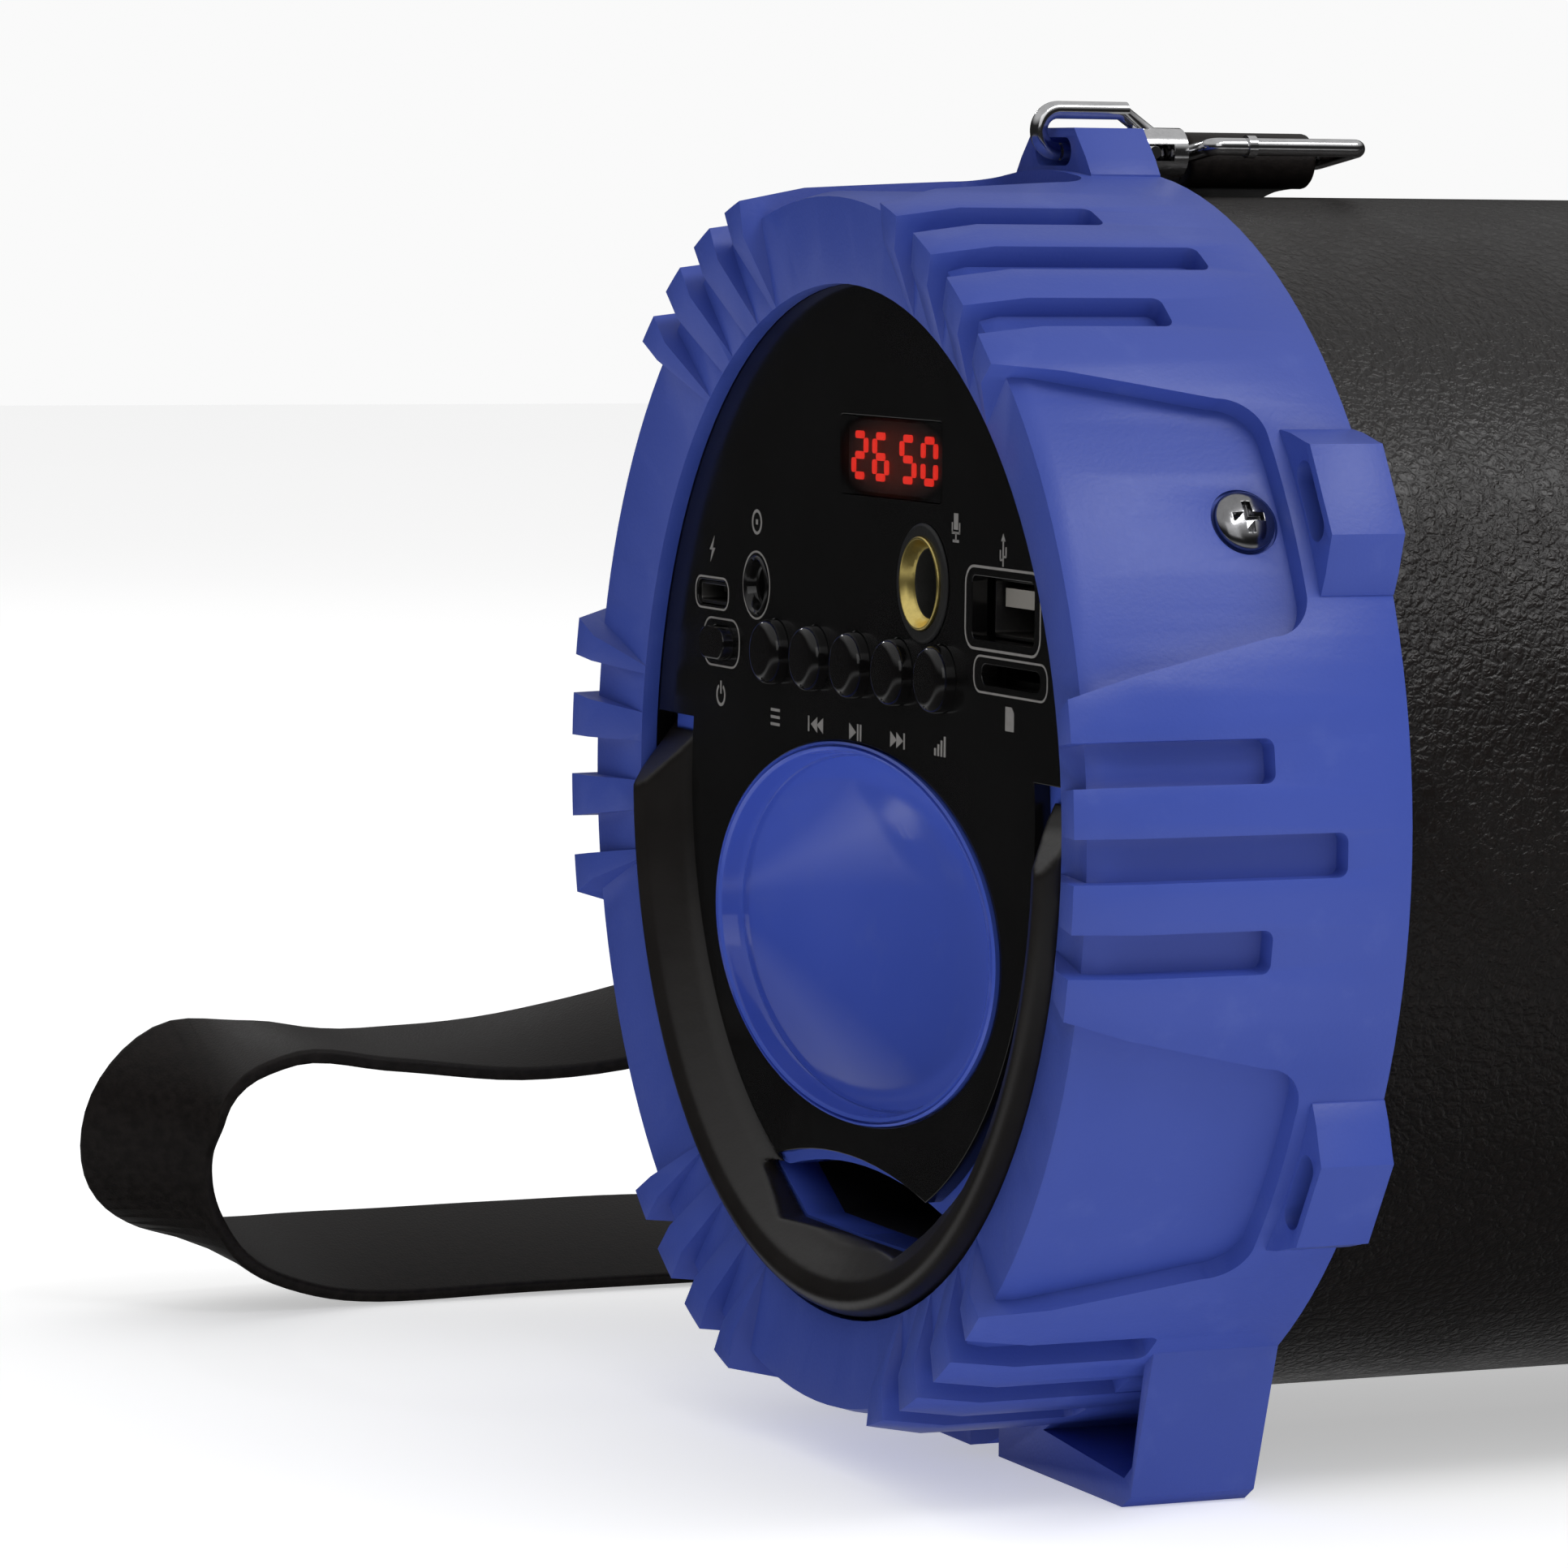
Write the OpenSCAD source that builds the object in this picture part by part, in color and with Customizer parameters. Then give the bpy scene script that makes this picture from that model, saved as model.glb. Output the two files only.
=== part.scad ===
// Portable tube loudspeaker: a covered tube between two moulded bumper rings, with a control
// panel in one end, a woofer in the other and a carrying strap on two snap hooks.
// The tube lies along X. Most modules are drawn from one end's front plane, with x going
// inwards, and at_front() or at_rear() puts them in place.

/* [Cabinet] */
// Length over both bumper rings
total_len = 290; // [240:1:360]
// Diameter of the covered tube
body_d = 115.4; // [100:0.2:140]
// Wall of the tube
tube_wall = 2.6; // [2:0.1:4]
// Thickness of the leatherette
wrap_t = 0.8; // [0.5:0.1:1.2]
// Gap under the bumper rings, between the feet
foot_h = 3.3; // [2:0.1:12]

/* [Bumper ring] */
// Length of a bumper ring along the tube
ring_w = 32.8; // [30:0.1:40]
// How far the ring's ribs stand out from the tube
ring_proud = 2.4; // [2:0.1:4]
// Depth of the grooves and pads
recess = 2.2; // [1.5:0.1:2.2]
// Radial height of the lip over the edge of the tube
lip_h = 8.5; // [7:0.1:9]
// Length of the ring that grips the tube
tube_grip = 4.6; // [3:0.1:6]
// Half angle of a pad at the front
pad_angle = 16.2; // [14:0.1:17]
// Half angle of a pad at the back
pad_back_angle = 11.4; // [10:0.1:13]
// Length of a pad
pad_len = 24.2; // [22:0.1:25]
// Width of a groove between ribs
groove_w = 4; // [3:0.1:5]
// Angle between grooves
groove_pitch = 8.1; // [7:0.1:9]
// Length of an outer groove
groove_len = 19.3; // [14:0.1:22]
// Length of a middle groove
groove_mid_len = 26.4; // [20:0.1:27]
// Width of a strap lug at its foot
lug_w = 15.8; // [14:0.1:18]
// Height of a strap lug
lug_h = 4; // [3.5:0.1:6]
// Height of the slot through a lug
slot_h = 2.7; // [2.2:0.1:3]
// Width of the slot through a lug
slot_w = 7.8; // [6:0.1:9]
// Distance from the ring's front to a foot
foot_x = 20; // [16:0.5:24]
// Diameter of a ring screw's head
ring_screw_d = 5.9; // [5:0.1:7]

/* [Control panel] */
// Depth of the panel below the ring's front plane
panel_depth = 5.35; // [5:0.05:7]
// Thickness of the panel
panel_t = 1.6; // [1.2:0.1:2.4]
// Radius of the panel's tongue
tongue_r = 40; // [36:0.1:42]
// Height of the step above the axis
step_v = 5.2; // [3:0.1:7]
// Diameter of a round button
button_d = 6.3; // [5:0.1:7.6]
// Distance between round buttons
button_pitch = 9.65; // [8:0.05:11]
// Height of the row of buttons above the axis
button_v = 13.1; // [12:0.1:16]
// How far a button stands out of the panel
button_proud = 1.9; // [1:0.1:3]
// How far a button travels
button_travel = 0.5; // [0.3:0.05:0.8]
// Half width of the oval dish
dish_a = 32.9; // [28:0.1:34]
// Half height of the oval dish
dish_b = 18.2; // [15:0.1:18.4]
// Depth of the dish
dish_depth = 9; // [6:0.5:12]
// Length of the bass port
port_len = 34; // [20:1:60]
// Bore of the microphone socket
mic_bore_d = 6.4; // [6.3:0.05:6.6]
// Bore of the aux socket
aux_bore_d = 3.6; // [3.5:0.05:3.8]

/* [Woofer] */
// Outer diameter of the cone
cone_d = 66; // [54:1:68]
// Diameter of the voice coil's former
former_d = 25.4; // [20:0.1:30]
// Diameter of the magnet
magnet_d = 66; // [56:1:72]
// Thickness of the magnet
magnet_t = 12; // [8:0.5:16]

/* [Strap and hooks] */
// Width of the strap
strap_w = 15; // [12:0.5:20]
// Thickness of the strap
strap_t = 1.6; // [1.2:0.1:2]
// Radius of the hook's wire
wire_r = 0.85; // [0.7:0.05:1]
// How far the hook's bolt slides back
bolt_travel = 2.2; // [1.5:0.1:2.2]
// Length of the rectangular strap ring
strap_ring_l = 17.6; // [16:0.1:24]
// Width of the rectangular strap ring
strap_ring_w = 11; // [9:0.1:14]

/* [Battery] */
// Diameter of the battery cell
cell_d = 18.4; // [14:0.1:22]
// Length of the battery cell
cell_len = 65; // [50:1:70]

/* [Hidden] */

$fn = 96;
small_fn = 40;
slide_gap = 0.05;
seat_gap = 0.1;
free_gap = 0.3;
cut = 1;
far = 200;

// Radii of the nested cabinet walls
wrap_r = body_d / 2;
tube_r = wrap_r - wrap_t;
bore_r = tube_r - tube_wall;
ring_r = wrap_r + ring_proud;
axis_h = ring_r + foot_h;
floor_r = ring_r - recess;
lip_r = wrap_r - lip_h;
cap_r = floor_r - 2.3;
spigot_r = bore_r - seat_gap;
tube_x = ring_w - tube_grip;

// Front profile of the ring
rib_kink_x = 6.2;
rib_drop = 0.9;
rib_face = 3.3;
lip_x = 3.6;
floor_x = 2.1;
lip_back_x = panel_depth - seat_gap;

// Strap lugs and the hooks on them
lug_angles = [-30, 30, 90, 150, 210];
pad_angles = [-30, 30, 90, 150, 210, 270];
rib_angles = [0, 60, 120, 180, 240, 300];
screw_angles = [30, 150, 270];
lug_x = pad_len + 1.3;
lug_top_w = lug_w * 0.57;
lug_r = ring_r + lug_h;
slot_r = ring_r + 1.75;
screw_x = 20.7;
screw_head_h = 1.7;
screw_seat = 0.5;

// Layers behind the panel, counted inwards
insert_x = panel_depth + panel_t + seat_gap / 2;
insert_t = 1.5;
cap_x = insert_x + insert_t + seat_gap / 2;
cap_t = 2.4;
board_x = cap_x + cap_t + 3.5;
board_t = 1.6;
panel_r = lip_r + 2.4;
rim_r = lip_r - 0.35;
insert_r = lip_r - 1.2;
board_r = cap_r - 4.6;
window_r = cap_r - 9.5;
window_half = 41.5;
board_v = step_v + 4.4;
window_v = step_v + 3.6;

// Places of the panel's openings, across and up from the axis
display_pos = [7.6, 33];
display_size = [23, 7.4];
window_t = 0.3;
mic_pos = [15.5, 21.7];
aux_pos = [-23.9, 19.3];
charge_pos = [-35.1, 17.9];
usb_pos = [32.7, 20.2];
card_pos = [34.5, 14.2];
power_pos = [-32.6, button_v];
button_us = [for (i = [-2:2]) i * button_pitch + 0.4];
dish_v = -12.5;
power_size = [6, 3.2];
flange_t = 0.8;
stem_r = 1.2;
switch_front_x = board_x - 4.2;
stem_tip_x = switch_front_x + 1.5;
switch_bore = 2.1 + button_travel;

// Crescent port below the panel's tongue
arch_half = 18;
arch_top = -33.9;
arch_rise = 2.2;
arch_wall = 1.1;

// Woofer, counted inwards from the rear ring's front plane
baffle_x = 7.4;
baffle_t = 3;
basket_t = 1.5;
basket_x = baffle_x - basket_t;
cone_r = cone_d / 2;
former_r = former_d / 2;
surround_r = cone_r + 5.8;
surround_x = baffle_x + 0.32;
surround_t = 0.6;
drum_r = surround_r + 3.2;
woofer_screw_r = drum_r + 3;
woofer_r = woofer_screw_r + 3;
cone_x = surround_x + surround_t + 0.02;
top_plate_x = baffle_x + 20;
top_plate_t = 4;
magnet_x = top_plate_x + top_plate_t;
yoke_x = magnet_x + magnet_t;
yoke_t = 4;
pole_r = former_r - 0.9;
gap_r = former_r + 0.95;
spider_x = baffle_x + 14.5;
spider_r = former_r + 12;
terminal_angle = 90;

// Hook and strap ring, on the top lug
hook_z = slot_r;
nose_z = lug_r + wire_r + 0.85;
nose_r = (nose_z - hook_z) / 2;
nose_x = lug_x + 0.4;
barrel_x = ring_w + 0.8;
barrel_end = barrel_x + 5.2;
barrel_r = 2.4;
bolt_x = nose_x + 0.3;
bolt_end = barrel_x + 1.35;
bolt_bore_end = barrel_x + 4;
knob_x = barrel_x + 0.7;
knob_r = 0.6;
eye_x = barrel_end + 1.4;
eye_tilt = 8;
eye_corner = 0.9;
eye_y = strap_ring_w / 2 - wire_r;
fold_r = wire_r + 0.25;
fold_mid_x = eye_x + strap_ring_l / 2 - wire_r;
fold_w = min(strap_w - 1.4, strap_ring_l - 2 * wire_r - 2 * eye_corner - 0.2);
fold_at = [eye_y * cos(eye_tilt), hook_z - eye_y * sin(eye_tilt)];
girth = body_d / 115.4;
fold_tail = [15.6 * girth, wrap_r + 0.8];
fold_step = fold_tail - fold_at;
fold_turn = atan2(fold_step[1], fold_step[0]);

// Middle line of half of the strap: [inwards, towards the back, up from the axis], then the
// direction of its width. The other half is the same, mirrored.
half_strap = [
    [[48.3, 15.6, 58.5], [1, 0, 0]],
    [[48.3, 23, 56.3], [1, 0, 0]],
    [[48.3, 33, 51.2], [1, 0, 0]],
    [[48.3, 43, 43.2], [1, 0, 0]],
    [[47.6, 51.5, 32.6], [1, 0, 0]],
    [[46.8, 57.5, 20.5], [1, 0.1, 0]],
    [[45, 61.5, 8], [1, 0.3, -0.1]],
    [[42, 64.5, -4], [0.9, 0.6, -0.2]],
    [[37, 68, -15], [0.6, 0.9, -0.1]],
    [[29, 73, -24], [0.25, 1, 0.2]],
    [[19, 79, -30], [0, 1, 0.35]],
    [[5, 86, -33.5], [-0.1, 1, 0.25]],
    [[-9, 91, -34], [-0.2, 1, 0.1]],
    [[-20, 94, -33.6], [-0.45, 0.9, 0.05]],
    [[-28, 96, -36], [-0.68, 0.75, 0]],
    [[-32.5, 98, -42], [-0.75, 0.65, 0]],
    [[-32, 100, -49], [-0.7, 0.7, 0.05]],
    [[-26.5, 102.5, -54.8], [-0.5, 0.85, 0.15]],
    [[-18, 104.5, -57.6], [-0.25, 0.9, 0.35]],
    [[-6, 106.5, -58.9], [0, 1, 0.57]],
    [[12, 107, -58.9], [0, 1, 0.57]],
    [[32, 107, -59], [0, 1, 0.55]],
    [[52, 107, -59.9], [0, 1, 0.35]],
    [[74, 106, -61.6], [0, 1, 0.08]],
    [[100, 105, -62.2], [0, 1, 0]],
    [[125, 104.5, -62.2], [0, 1, 0]]
];
near_half = [for (p = half_strap) [[p[0][0], p[0][1] * girth, p[0][2] * girth], p[1]]];
strap_route = concat(
    near_half,
    [[[total_len / 2, 104.5 * girth, -62.2 * girth], [0, 1, 0]]],
    [for (i = [len(near_half) - 1:-1:0]) mirrored(near_half[i])]
);

// Middle lines of the speaker leads and battery leads
speaker_lead = [
    [21, -6, 20], [30, -6, 26], [44, -5, 34], [70, -4, 40], [100, -2, 42],
    [135, 0, 43], [170, 0, 43], [205, 0, 44], [235, 0, 45.5], [252, 0, 46.5]
];
battery_lead = [
    [21, 20, 14], [32, 20, 4], [48, 16, -12], [62, 10, -27], [74, 4, -38], [84, 1, -43]
];

function mirrored(p) = [[total_len - p[0][0], p[0][1], p[0][2]], [-p[1][0], p[1][1], p[1][2]]];
function unit(v) = v / norm(v);
function tangent(points, i) =
    unit(points[min(i + 1, len(points) - 1)] - points[max(i - 1, 0)]);
function across(v, t) = unit(v - (v * t) * t);
function arch_v(u) = arch_top - arch_rise * pow(u / arch_half, 2);
function arc(r, a0, a1, n) = [for (i = [0:n]) let (a = a0 + (a1 - a0) * i / n) [r * cos(a), r * sin(a)]];

// ---- Placing -----------------------------------------------------------------------------

module at_front() {
    translate([-total_len / 2, 0, axis_h]) children();
}

module at_rear() {
    translate([total_len / 2, 0, axis_h]) mirror([1, 0, 0]) children();
}

module rod(r, x0, x1) {
    translate([x0, 0, 0]) rotate([0, 90, 0]) cylinder(r = r, h = x1 - x0);
}

module pipe(r_out, r_in, x0, x1) {
    difference() {
        rod(r_out, x0, x1);
        rod(r_in, x0 - cut, x1 + cut);
    }
}

// Turns a profile of [radius, x] points about the tube's axis
module turned(points) {
    rotate([0, 90, 0]) rotate_extrude() polygon(points);
}

// Puts a piece at a place on the panel: u towards the near side, v up
module on_panel(u, v, x = 0) {
    translate([x, -u, v]) children();
}

// Extrudes an outline drawn in [u, v] from x0 to x1
module slab(x0, x1) {
    translate([x0, 0, 0]) rotate([90, 0, 90]) linear_extrude(x1 - x0) mirror([1, 0]) children();
}

// Places a piece drawn at the near side at an angle around the axis
module around(angle) {
    rotate([-angle, 0, 0]) children();
}

// Extrudes an outline drawn in [x, s] outwards from the axis, at an angle
module outwards(angle, r0, r1) {
    around(angle) translate([0, -r0, 0]) rotate([90, 0, 0]) linear_extrude(r1 - r0) children();
}

// ---- Bumper rings ------------------------------------------------------------------------

module pad_outline() {
    front_s = ring_r * sin(pad_angle);
    back_s = ring_r * sin(pad_back_angle);
    corner = 3.9;
    union() {
        polygon([
            [-cut, -front_s], [pad_len - corner, -back_s], [pad_len, corner - back_s],
            [pad_len, back_s - corner], [pad_len - corner, back_s], [-cut, front_s]
        ]);
        for (side = [-1, 1])
            translate([pad_len - corner, side * (back_s - corner)]) circle(corner);
    }
}

module groove_outline(length) {
    corner = 0.9;
    half = groove_w / 2;
    translate([-cut, -half]) square([length - corner + cut, groove_w]);
    translate([length - corner - 0.01, corner - half]) square([corner + 0.01, groove_w - 2 * corner]);
    for (side = [-1, 1]) translate([length - corner, side * (half - corner)]) circle(corner, $fn = small_fn);
}

module raised_ribs() {
    slope = (lip_x - 0.4) / (ring_r - rib_drop - rib_face - lip_r);
    difference() {
        turned([
            [lip_r - 3, lip_x + 3 * slope], [ring_r - rib_drop - rib_face, 0.4],
            [ring_r - rib_drop, 0], [ring_r, rib_kink_x], [ring_r, ring_w], [lip_r - 3, ring_w]
        ]);
        for (angle = pad_angles) outwards(angle, lip_r - 8, ring_r + 5) pad_outline();
        for (angle = rib_angles)
            for (i = [-1:1])
                outwards(angle + i * groove_pitch, lip_r - 8, ring_r + 5)
                    groove_outline(i == 0 ? groove_mid_len : groove_len);
    }
}

module ring_floor() {
    slope = (lip_x - floor_x) / (floor_r - 0.5 - lip_r);
    turned([
        [lip_r - 3, lip_x + 3 * slope], [floor_r - 0.5, floor_x], [floor_r, floor_x + 1.7],
        [floor_r, ring_w], [lip_r - 3, ring_w]
    ]);
}

module lug() {
    around(0) translate([lug_x, 0, 0]) rotate([90, 0, 90]) linear_extrude(ring_w - lug_x)
        polygon([
            [-(ring_r - 2), -lug_w / 2 - 0.4], [-(ring_r - 0.4), -lug_w / 2 - 0.4],
            [-(ring_r + 1.2), -lug_w / 2 + 0.8], [-(lug_r - 0.7), -lug_top_w / 2 - 0.6],
            [-lug_r, -lug_top_w / 2], [-lug_r, lug_top_w / 2],
            [-(lug_r - 0.7), lug_top_w / 2 + 0.6], [-(ring_r + 1.2), lug_w / 2 - 0.8],
            [-(ring_r - 0.4), lug_w / 2 + 0.4], [-(ring_r - 2), lug_w / 2 + 0.4]
        ]);
}

module lug_slot() {
    half = (slot_w - slot_h) / 2;
    translate([lug_x - cut, -slot_r, 0]) {
        translate([0, -slot_h / 2, -half]) cube([ring_w, slot_h, 2 * half]);
        for (side = [-1, 1]) translate([0, 0, side * half]) rod(slot_h / 2, 0, ring_w);
    }
}

module foot(side) {
    bottom = -axis_h;
    difference() {
        slab(foot_x, ring_w) scale([side, 1]) polygon([
            [2, -wrap_r], [2, bottom + 1.2], [3.2, bottom], [30, bottom], [31.8, bottom + 1.2],
            [ring_r * cos(53), -ring_r * sin(53)], [30, -48]
        ]);
        difference() {
            slab(foot_x - cut, ring_w - 2.8) scale([side, 1]) polygon([
                [13, -ring_r + 1], [30.4, bottom + 2.8], [32, bottom + 4.1], [34.6, -48]
            ]);
            rod(ring_r - 0.1, 0, ring_w);
        }
    }
}

module bumper_ring() {
    color("royalblue")
    difference() {
        union() {
            ring_floor();
            raised_ribs();
            for (angle = lug_angles) around(angle) lug();
            for (side = [-1, 1]) foot(side);
        }
        rod(lip_r, -cut, ring_w + cut);
        rod(cap_r + seat_gap, lip_back_x, ring_w + cut);
        rod(wrap_r + slide_gap, tube_x, ring_w + cut);
        for (angle = lug_angles) around(angle) lug_slot();
        for (angle = screw_angles) around(angle) {
            translate([screw_x, -floor_r + screw_seat, 0]) rotate([90, 0, 0])
                cylinder(d = ring_screw_d + 0.6, h = 10, $fn = small_fn);
            translate([screw_x, -cap_r + cut, 0]) rotate([90, 0, 0])
                cylinder(d = 3.3, h = 10, $fn = small_fn);
        }
    }
}

// Pan-head screw standing along -Y, with a cross recess
module pan_screw(head_d, head_h, shank_d, length) {
    rotate([90, 0, 0]) difference() {
        union() {
            rotate_extrude() polygon(concat(
                [[0, 0], [head_d / 2, 0], [head_d / 2, head_h * 0.35]],
                [for (a = [15:15:90]) [head_d / 2 * cos(a), head_h * (0.35 + 0.65 * sin(a))]]
            ));
            translate([0, 0, -length]) cylinder(d = shank_d, h = length + 0.1, $fn = small_fn);
        }
        for (turn = [0, 90]) rotate(turn)
            translate([-head_d * 0.26, -head_d * 0.07, head_h * 0.45])
                cube([head_d * 0.52, head_d * 0.14, head_h]);
    }
}

module ring_screws() {
    color("silver")
    for (angle = screw_angles) around(angle)
        translate([screw_x, -floor_r + screw_seat, 0])
            pan_screw(ring_screw_d, screw_head_h, 3, 6.5);
}

// ---- Cabinet -----------------------------------------------------------------------------

module tube() {
    color("burlywood") translate([-total_len / 2, 0, axis_h])
        pipe(tube_r, bore_r, tube_x + seat_gap, total_len - tube_x - seat_gap);
}

module leatherette_wrap() {
    color([0.12, 0.1, 0.09]) translate([-total_len / 2, 0, axis_h])
        pipe(wrap_r, tube_r, tube_x + seat_gap, total_len - tube_x - seat_gap);
}

module cap_shell(skirt_x, plate_x, plate_t) {
    difference() {
        union() {
            rod(cap_r, skirt_x, tube_x);
            rod(spigot_r, skirt_x, tube_x + 12);
        }
        rod(cap_r - 2.6, skirt_x - cut, plate_x);
        rod(min(cap_r, spigot_r) - 2.4, plate_x + plate_t, tube_x + 12 + cut);
        for (angle = screw_angles) around(angle)
            translate([screw_x, -cap_r + 8, 0]) rotate([90, 0, 0])
                cylinder(d = 3 + slide_gap, h = 12, $fn = small_fn);
    }
}

module screw_bosses() {
    for (angle = screw_angles) around(angle) difference() {
        translate([screw_x, -cap_r + 6, 0]) rotate([90, 0, 0]) cylinder(r = 3.6, h = 5, $fn = small_fn);
        translate([screw_x, -cap_r + 8, 0]) rotate([90, 0, 0])
            cylinder(d = 3 + slide_gap, h = 12, $fn = small_fn);
    }
}

module electronics_window() {
    intersection() {
        circle(window_r);
        translate([-window_half, window_v]) square([2 * window_half, far]);
    }
}

module dish_oval(grow) {
    translate([0, dish_v]) scale([1, dish_b / dish_a]) circle(dish_a + grow);
}

module port_mouth(grow = 0) {
    low = -(lip_r - 7.7);
    polygon(concat(
        [for (u = [-arch_half:3:arch_half]) [u, arch_v(u) - arch_wall + grow]],
        [
            [21 + grow, -37], [13.5 + grow, low - 0.1 - grow], [0, low - 0.2 - grow],
            [-13.5 - grow, low - 0.1 - grow], [-21 - grow, -37]
        ]
    ));
}

// Board posts: the lower two stand beside the cap's window, the upper two outside its curve
lower_post = [window_half + 2.5, 14.5];
upper_post = (window_r + 2.45) * [cos(57.62), sin(57.62)];
board_posts = [for (post = [lower_post, upper_post]) for (side = [-1, 1]) [side * post[0], post[1]]];

module front_cap() {
    color([0.08, 0.08, 0.08]) at_front() {
        difference() {
            cap_shell(lip_back_x + seat_gap, cap_x, cap_t);
            slab(cap_x - cut, cap_x + cap_t + cut) electronics_window();
            slab(cap_x - cut, cap_x + cap_t + cut) dish_oval(1.2);
            slab(cap_x - cut, cap_x + cap_t + cut) port_mouth(1.6);
        }
        screw_bosses();
        for (post = board_posts) on_panel(post[0], post[1]) pipe(2.4, 0.9, cap_x + cap_t - 0.2, board_x);
    }
}

// ---- Control panel -----------------------------------------------------------------------

module panel_outline() {
    intersection() {
        circle(panel_r);
        translate([-far, step_v]) square([2 * far, far]);
    }
    difference() {
        intersection() {
            circle(tongue_r);
            translate([-far, -far]) square([2 * far, far + step_v + 0.1]);
        }
        polygon(concat(
            [for (u = [-24:3:24]) [u, arch_v(u)]],
            [[24, -far], [-24, -far]]
        ));
    }
}

module rounded(size, r) {
    for (sx = [-1, 1]) for (sy = [-1, 1])
        translate([sx * (size[0] / 2 - r), sy * (size[1] / 2 - r)]) circle(r, $fn = small_fn);
    square([size[0] - 2 * r, size[1]], center = true);
    square([size[0], size[1] - 2 * r], center = true);
}

usb_size = [13, 5.6];
charge_size = [7.4, 2.3];
card_size = [12.4, 1.9];

module control_panel() {
    color([0.06, 0.06, 0.06]) at_front() {
        difference() {
            slab(panel_depth, panel_depth + panel_t) panel_outline();
            slab(0, cap_x) dish_oval(0.1);
            on_panel(display_pos[0], display_pos[1])
                slab(0, cap_x) rounded(display_size + [0.2, 0.2], 0.6);
            on_panel(mic_pos[0], mic_pos[1]) rod(4.7 + seat_gap, 0, cap_x);
            on_panel(aux_pos[0], aux_pos[1]) rod(2.6 + seat_gap, 0, cap_x);
            on_panel(charge_pos[0], charge_pos[1]) slab(0, cap_x) rounded(charge_size + [0.2, 0.2], 1);
            on_panel(usb_pos[0], usb_pos[1]) slab(0, cap_x) rounded(usb_size + [0.2, 0.2], 0.7);
            on_panel(card_pos[0], card_pos[1]) slab(0, cap_x) rounded(card_size, 0.9);
            on_panel(power_pos[0], power_pos[1])
                slab(0, cap_x) rounded(power_size + [2, 2] * slide_gap, 1.5 + slide_gap);
            for (u = button_us) on_panel(u, button_v) rod(button_d / 2 + slide_gap, 0, cap_x);
        }
    }
}

// The rim's two ends rise out of the insert on a slope
module lower_rim() {
    end_slope = 52;
    color([0.2, 0.18, 0.17]) at_front() difference() {
        turned([
            [rim_r, insert_x + 1.4], [rim_r, 3.6], [rim_r - 0.7, 2.3], [rim_r - 1.7, 1.9],
            [rim_r - 3.4, 2.5], [rim_r - 6.4, 5.1], [tongue_r + 1.2, insert_x - 0.1],
            [insert_r + 0.15, insert_x - 0.1], [insert_r + 0.15, insert_x + 1.4]
        ]);
        translate([insert_x, 0, step_v - 1.2]) rotate([0, -end_slope, 0])
            translate([-far, -far, 0]) cube([2 * far, 2 * far, far]);
        slab(0, cap_x + cap_t) port_mouth(0.1);
    }
}

// Oval bowl with a raised double edge
module dish() {
    inner = dish_a - 1.7;
    wall = 1.5;
    rim = dish_a - seat_gap;
    translate([panel_depth, 0, dish_v]) scale([1, 1, dish_b / dish_a]) turned(concat(
        [for (t = [90:-7.5:7.5]) [inner * cos(t), dish_depth * sin(t)]],
        [[inner, 0], [inner + 0.1, -0.3], [rim - 0.9, -0.45], [rim - 0.75, 0], [rim - 0.55, 0],
         [rim - 0.4, -0.45], [rim, -0.3]],
        [for (t = [15:15:90]) [rim * cos(t), (dish_depth + wall) * sin(t)]]
    ));
}

module blue_dish_insert() {
    color("royalblue") at_front() {
        difference() {
            union() {
                slab(insert_x, insert_x + insert_t) difference() {
                    intersection() {
                        circle(insert_r);
                        translate([-far, -far]) square([2 * far, far + step_v + 1.6]);
                    }
                    dish_oval(-2.6);
                }
                slab(insert_x + insert_t - 0.3, cap_x + cap_t) port_mouth(1.2);
            }
            slab(0, cap_x + cap_t + cut) port_mouth(0);
        }
        dish();
    }
}

module bass_port_duct() {
    color([0.1, 0.1, 0.1]) at_front()
        slab(cap_x + cap_t + 0.05, cap_x + cap_t + port_len) difference() {
            port_mouth(1.4);
            port_mouth(0);
        }
}

// ---- Display and circuit board -----------------------------------------------------------

module display_window() {
    color([0.25, 0.02, 0.02, 0.6]) at_front() on_panel(display_pos[0], display_pos[1])
        slab(panel_depth, panel_depth + window_t) rounded(display_size, 0.5);
}

module display_module() {
    color([0.15, 0.15, 0.15]) at_front() on_panel(display_pos[0], display_pos[1])
        slab(panel_depth + window_t + 0.25, board_x - 0.02) square([21.5, 6.8], center = true);
}

digit_h = 4.6;
digit_w = 3.5;
segment_t = 0.72;

// The seven strokes of one digit, in the order top, upper right, lower right, bottom,
// lower left, upper left, middle
module stroke(i) {
    long = digit_w - 2 * segment_t - 0.3;
    tall = digit_h / 2 - segment_t - 0.2;
    places = [
        [0, 1, true], [1, 0.5, false], [1, -0.5, false], [0, -1, true],
        [-1, -0.5, false], [-1, 0.5, false], [0, 0, true]
    ];
    p = places[i];
    translate([p[0] * (digit_w - segment_t) / 2, p[1] * (digit_h - segment_t) / 2])
        rounded(p[2] ? [long, segment_t] : [segment_t, tall], segment_t * 0.42);
}

module display_digits() {
    lit = [[0, 1, 3, 4, 6], [0, 2, 3, 4, 5, 6], [0, 2, 3, 5, 6], [0, 1, 2, 3, 4, 5]];
    starts = [-7.9, -3.1, 3.1, 7.9];
    color("red") at_front() on_panel(display_pos[0], display_pos[1])
        slab(panel_depth + window_t + 0.02, panel_depth + window_t + 0.22)
            for (d = [0:3]) translate([starts[d], 0]) for (i = lit[d]) stroke(i);
}

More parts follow.
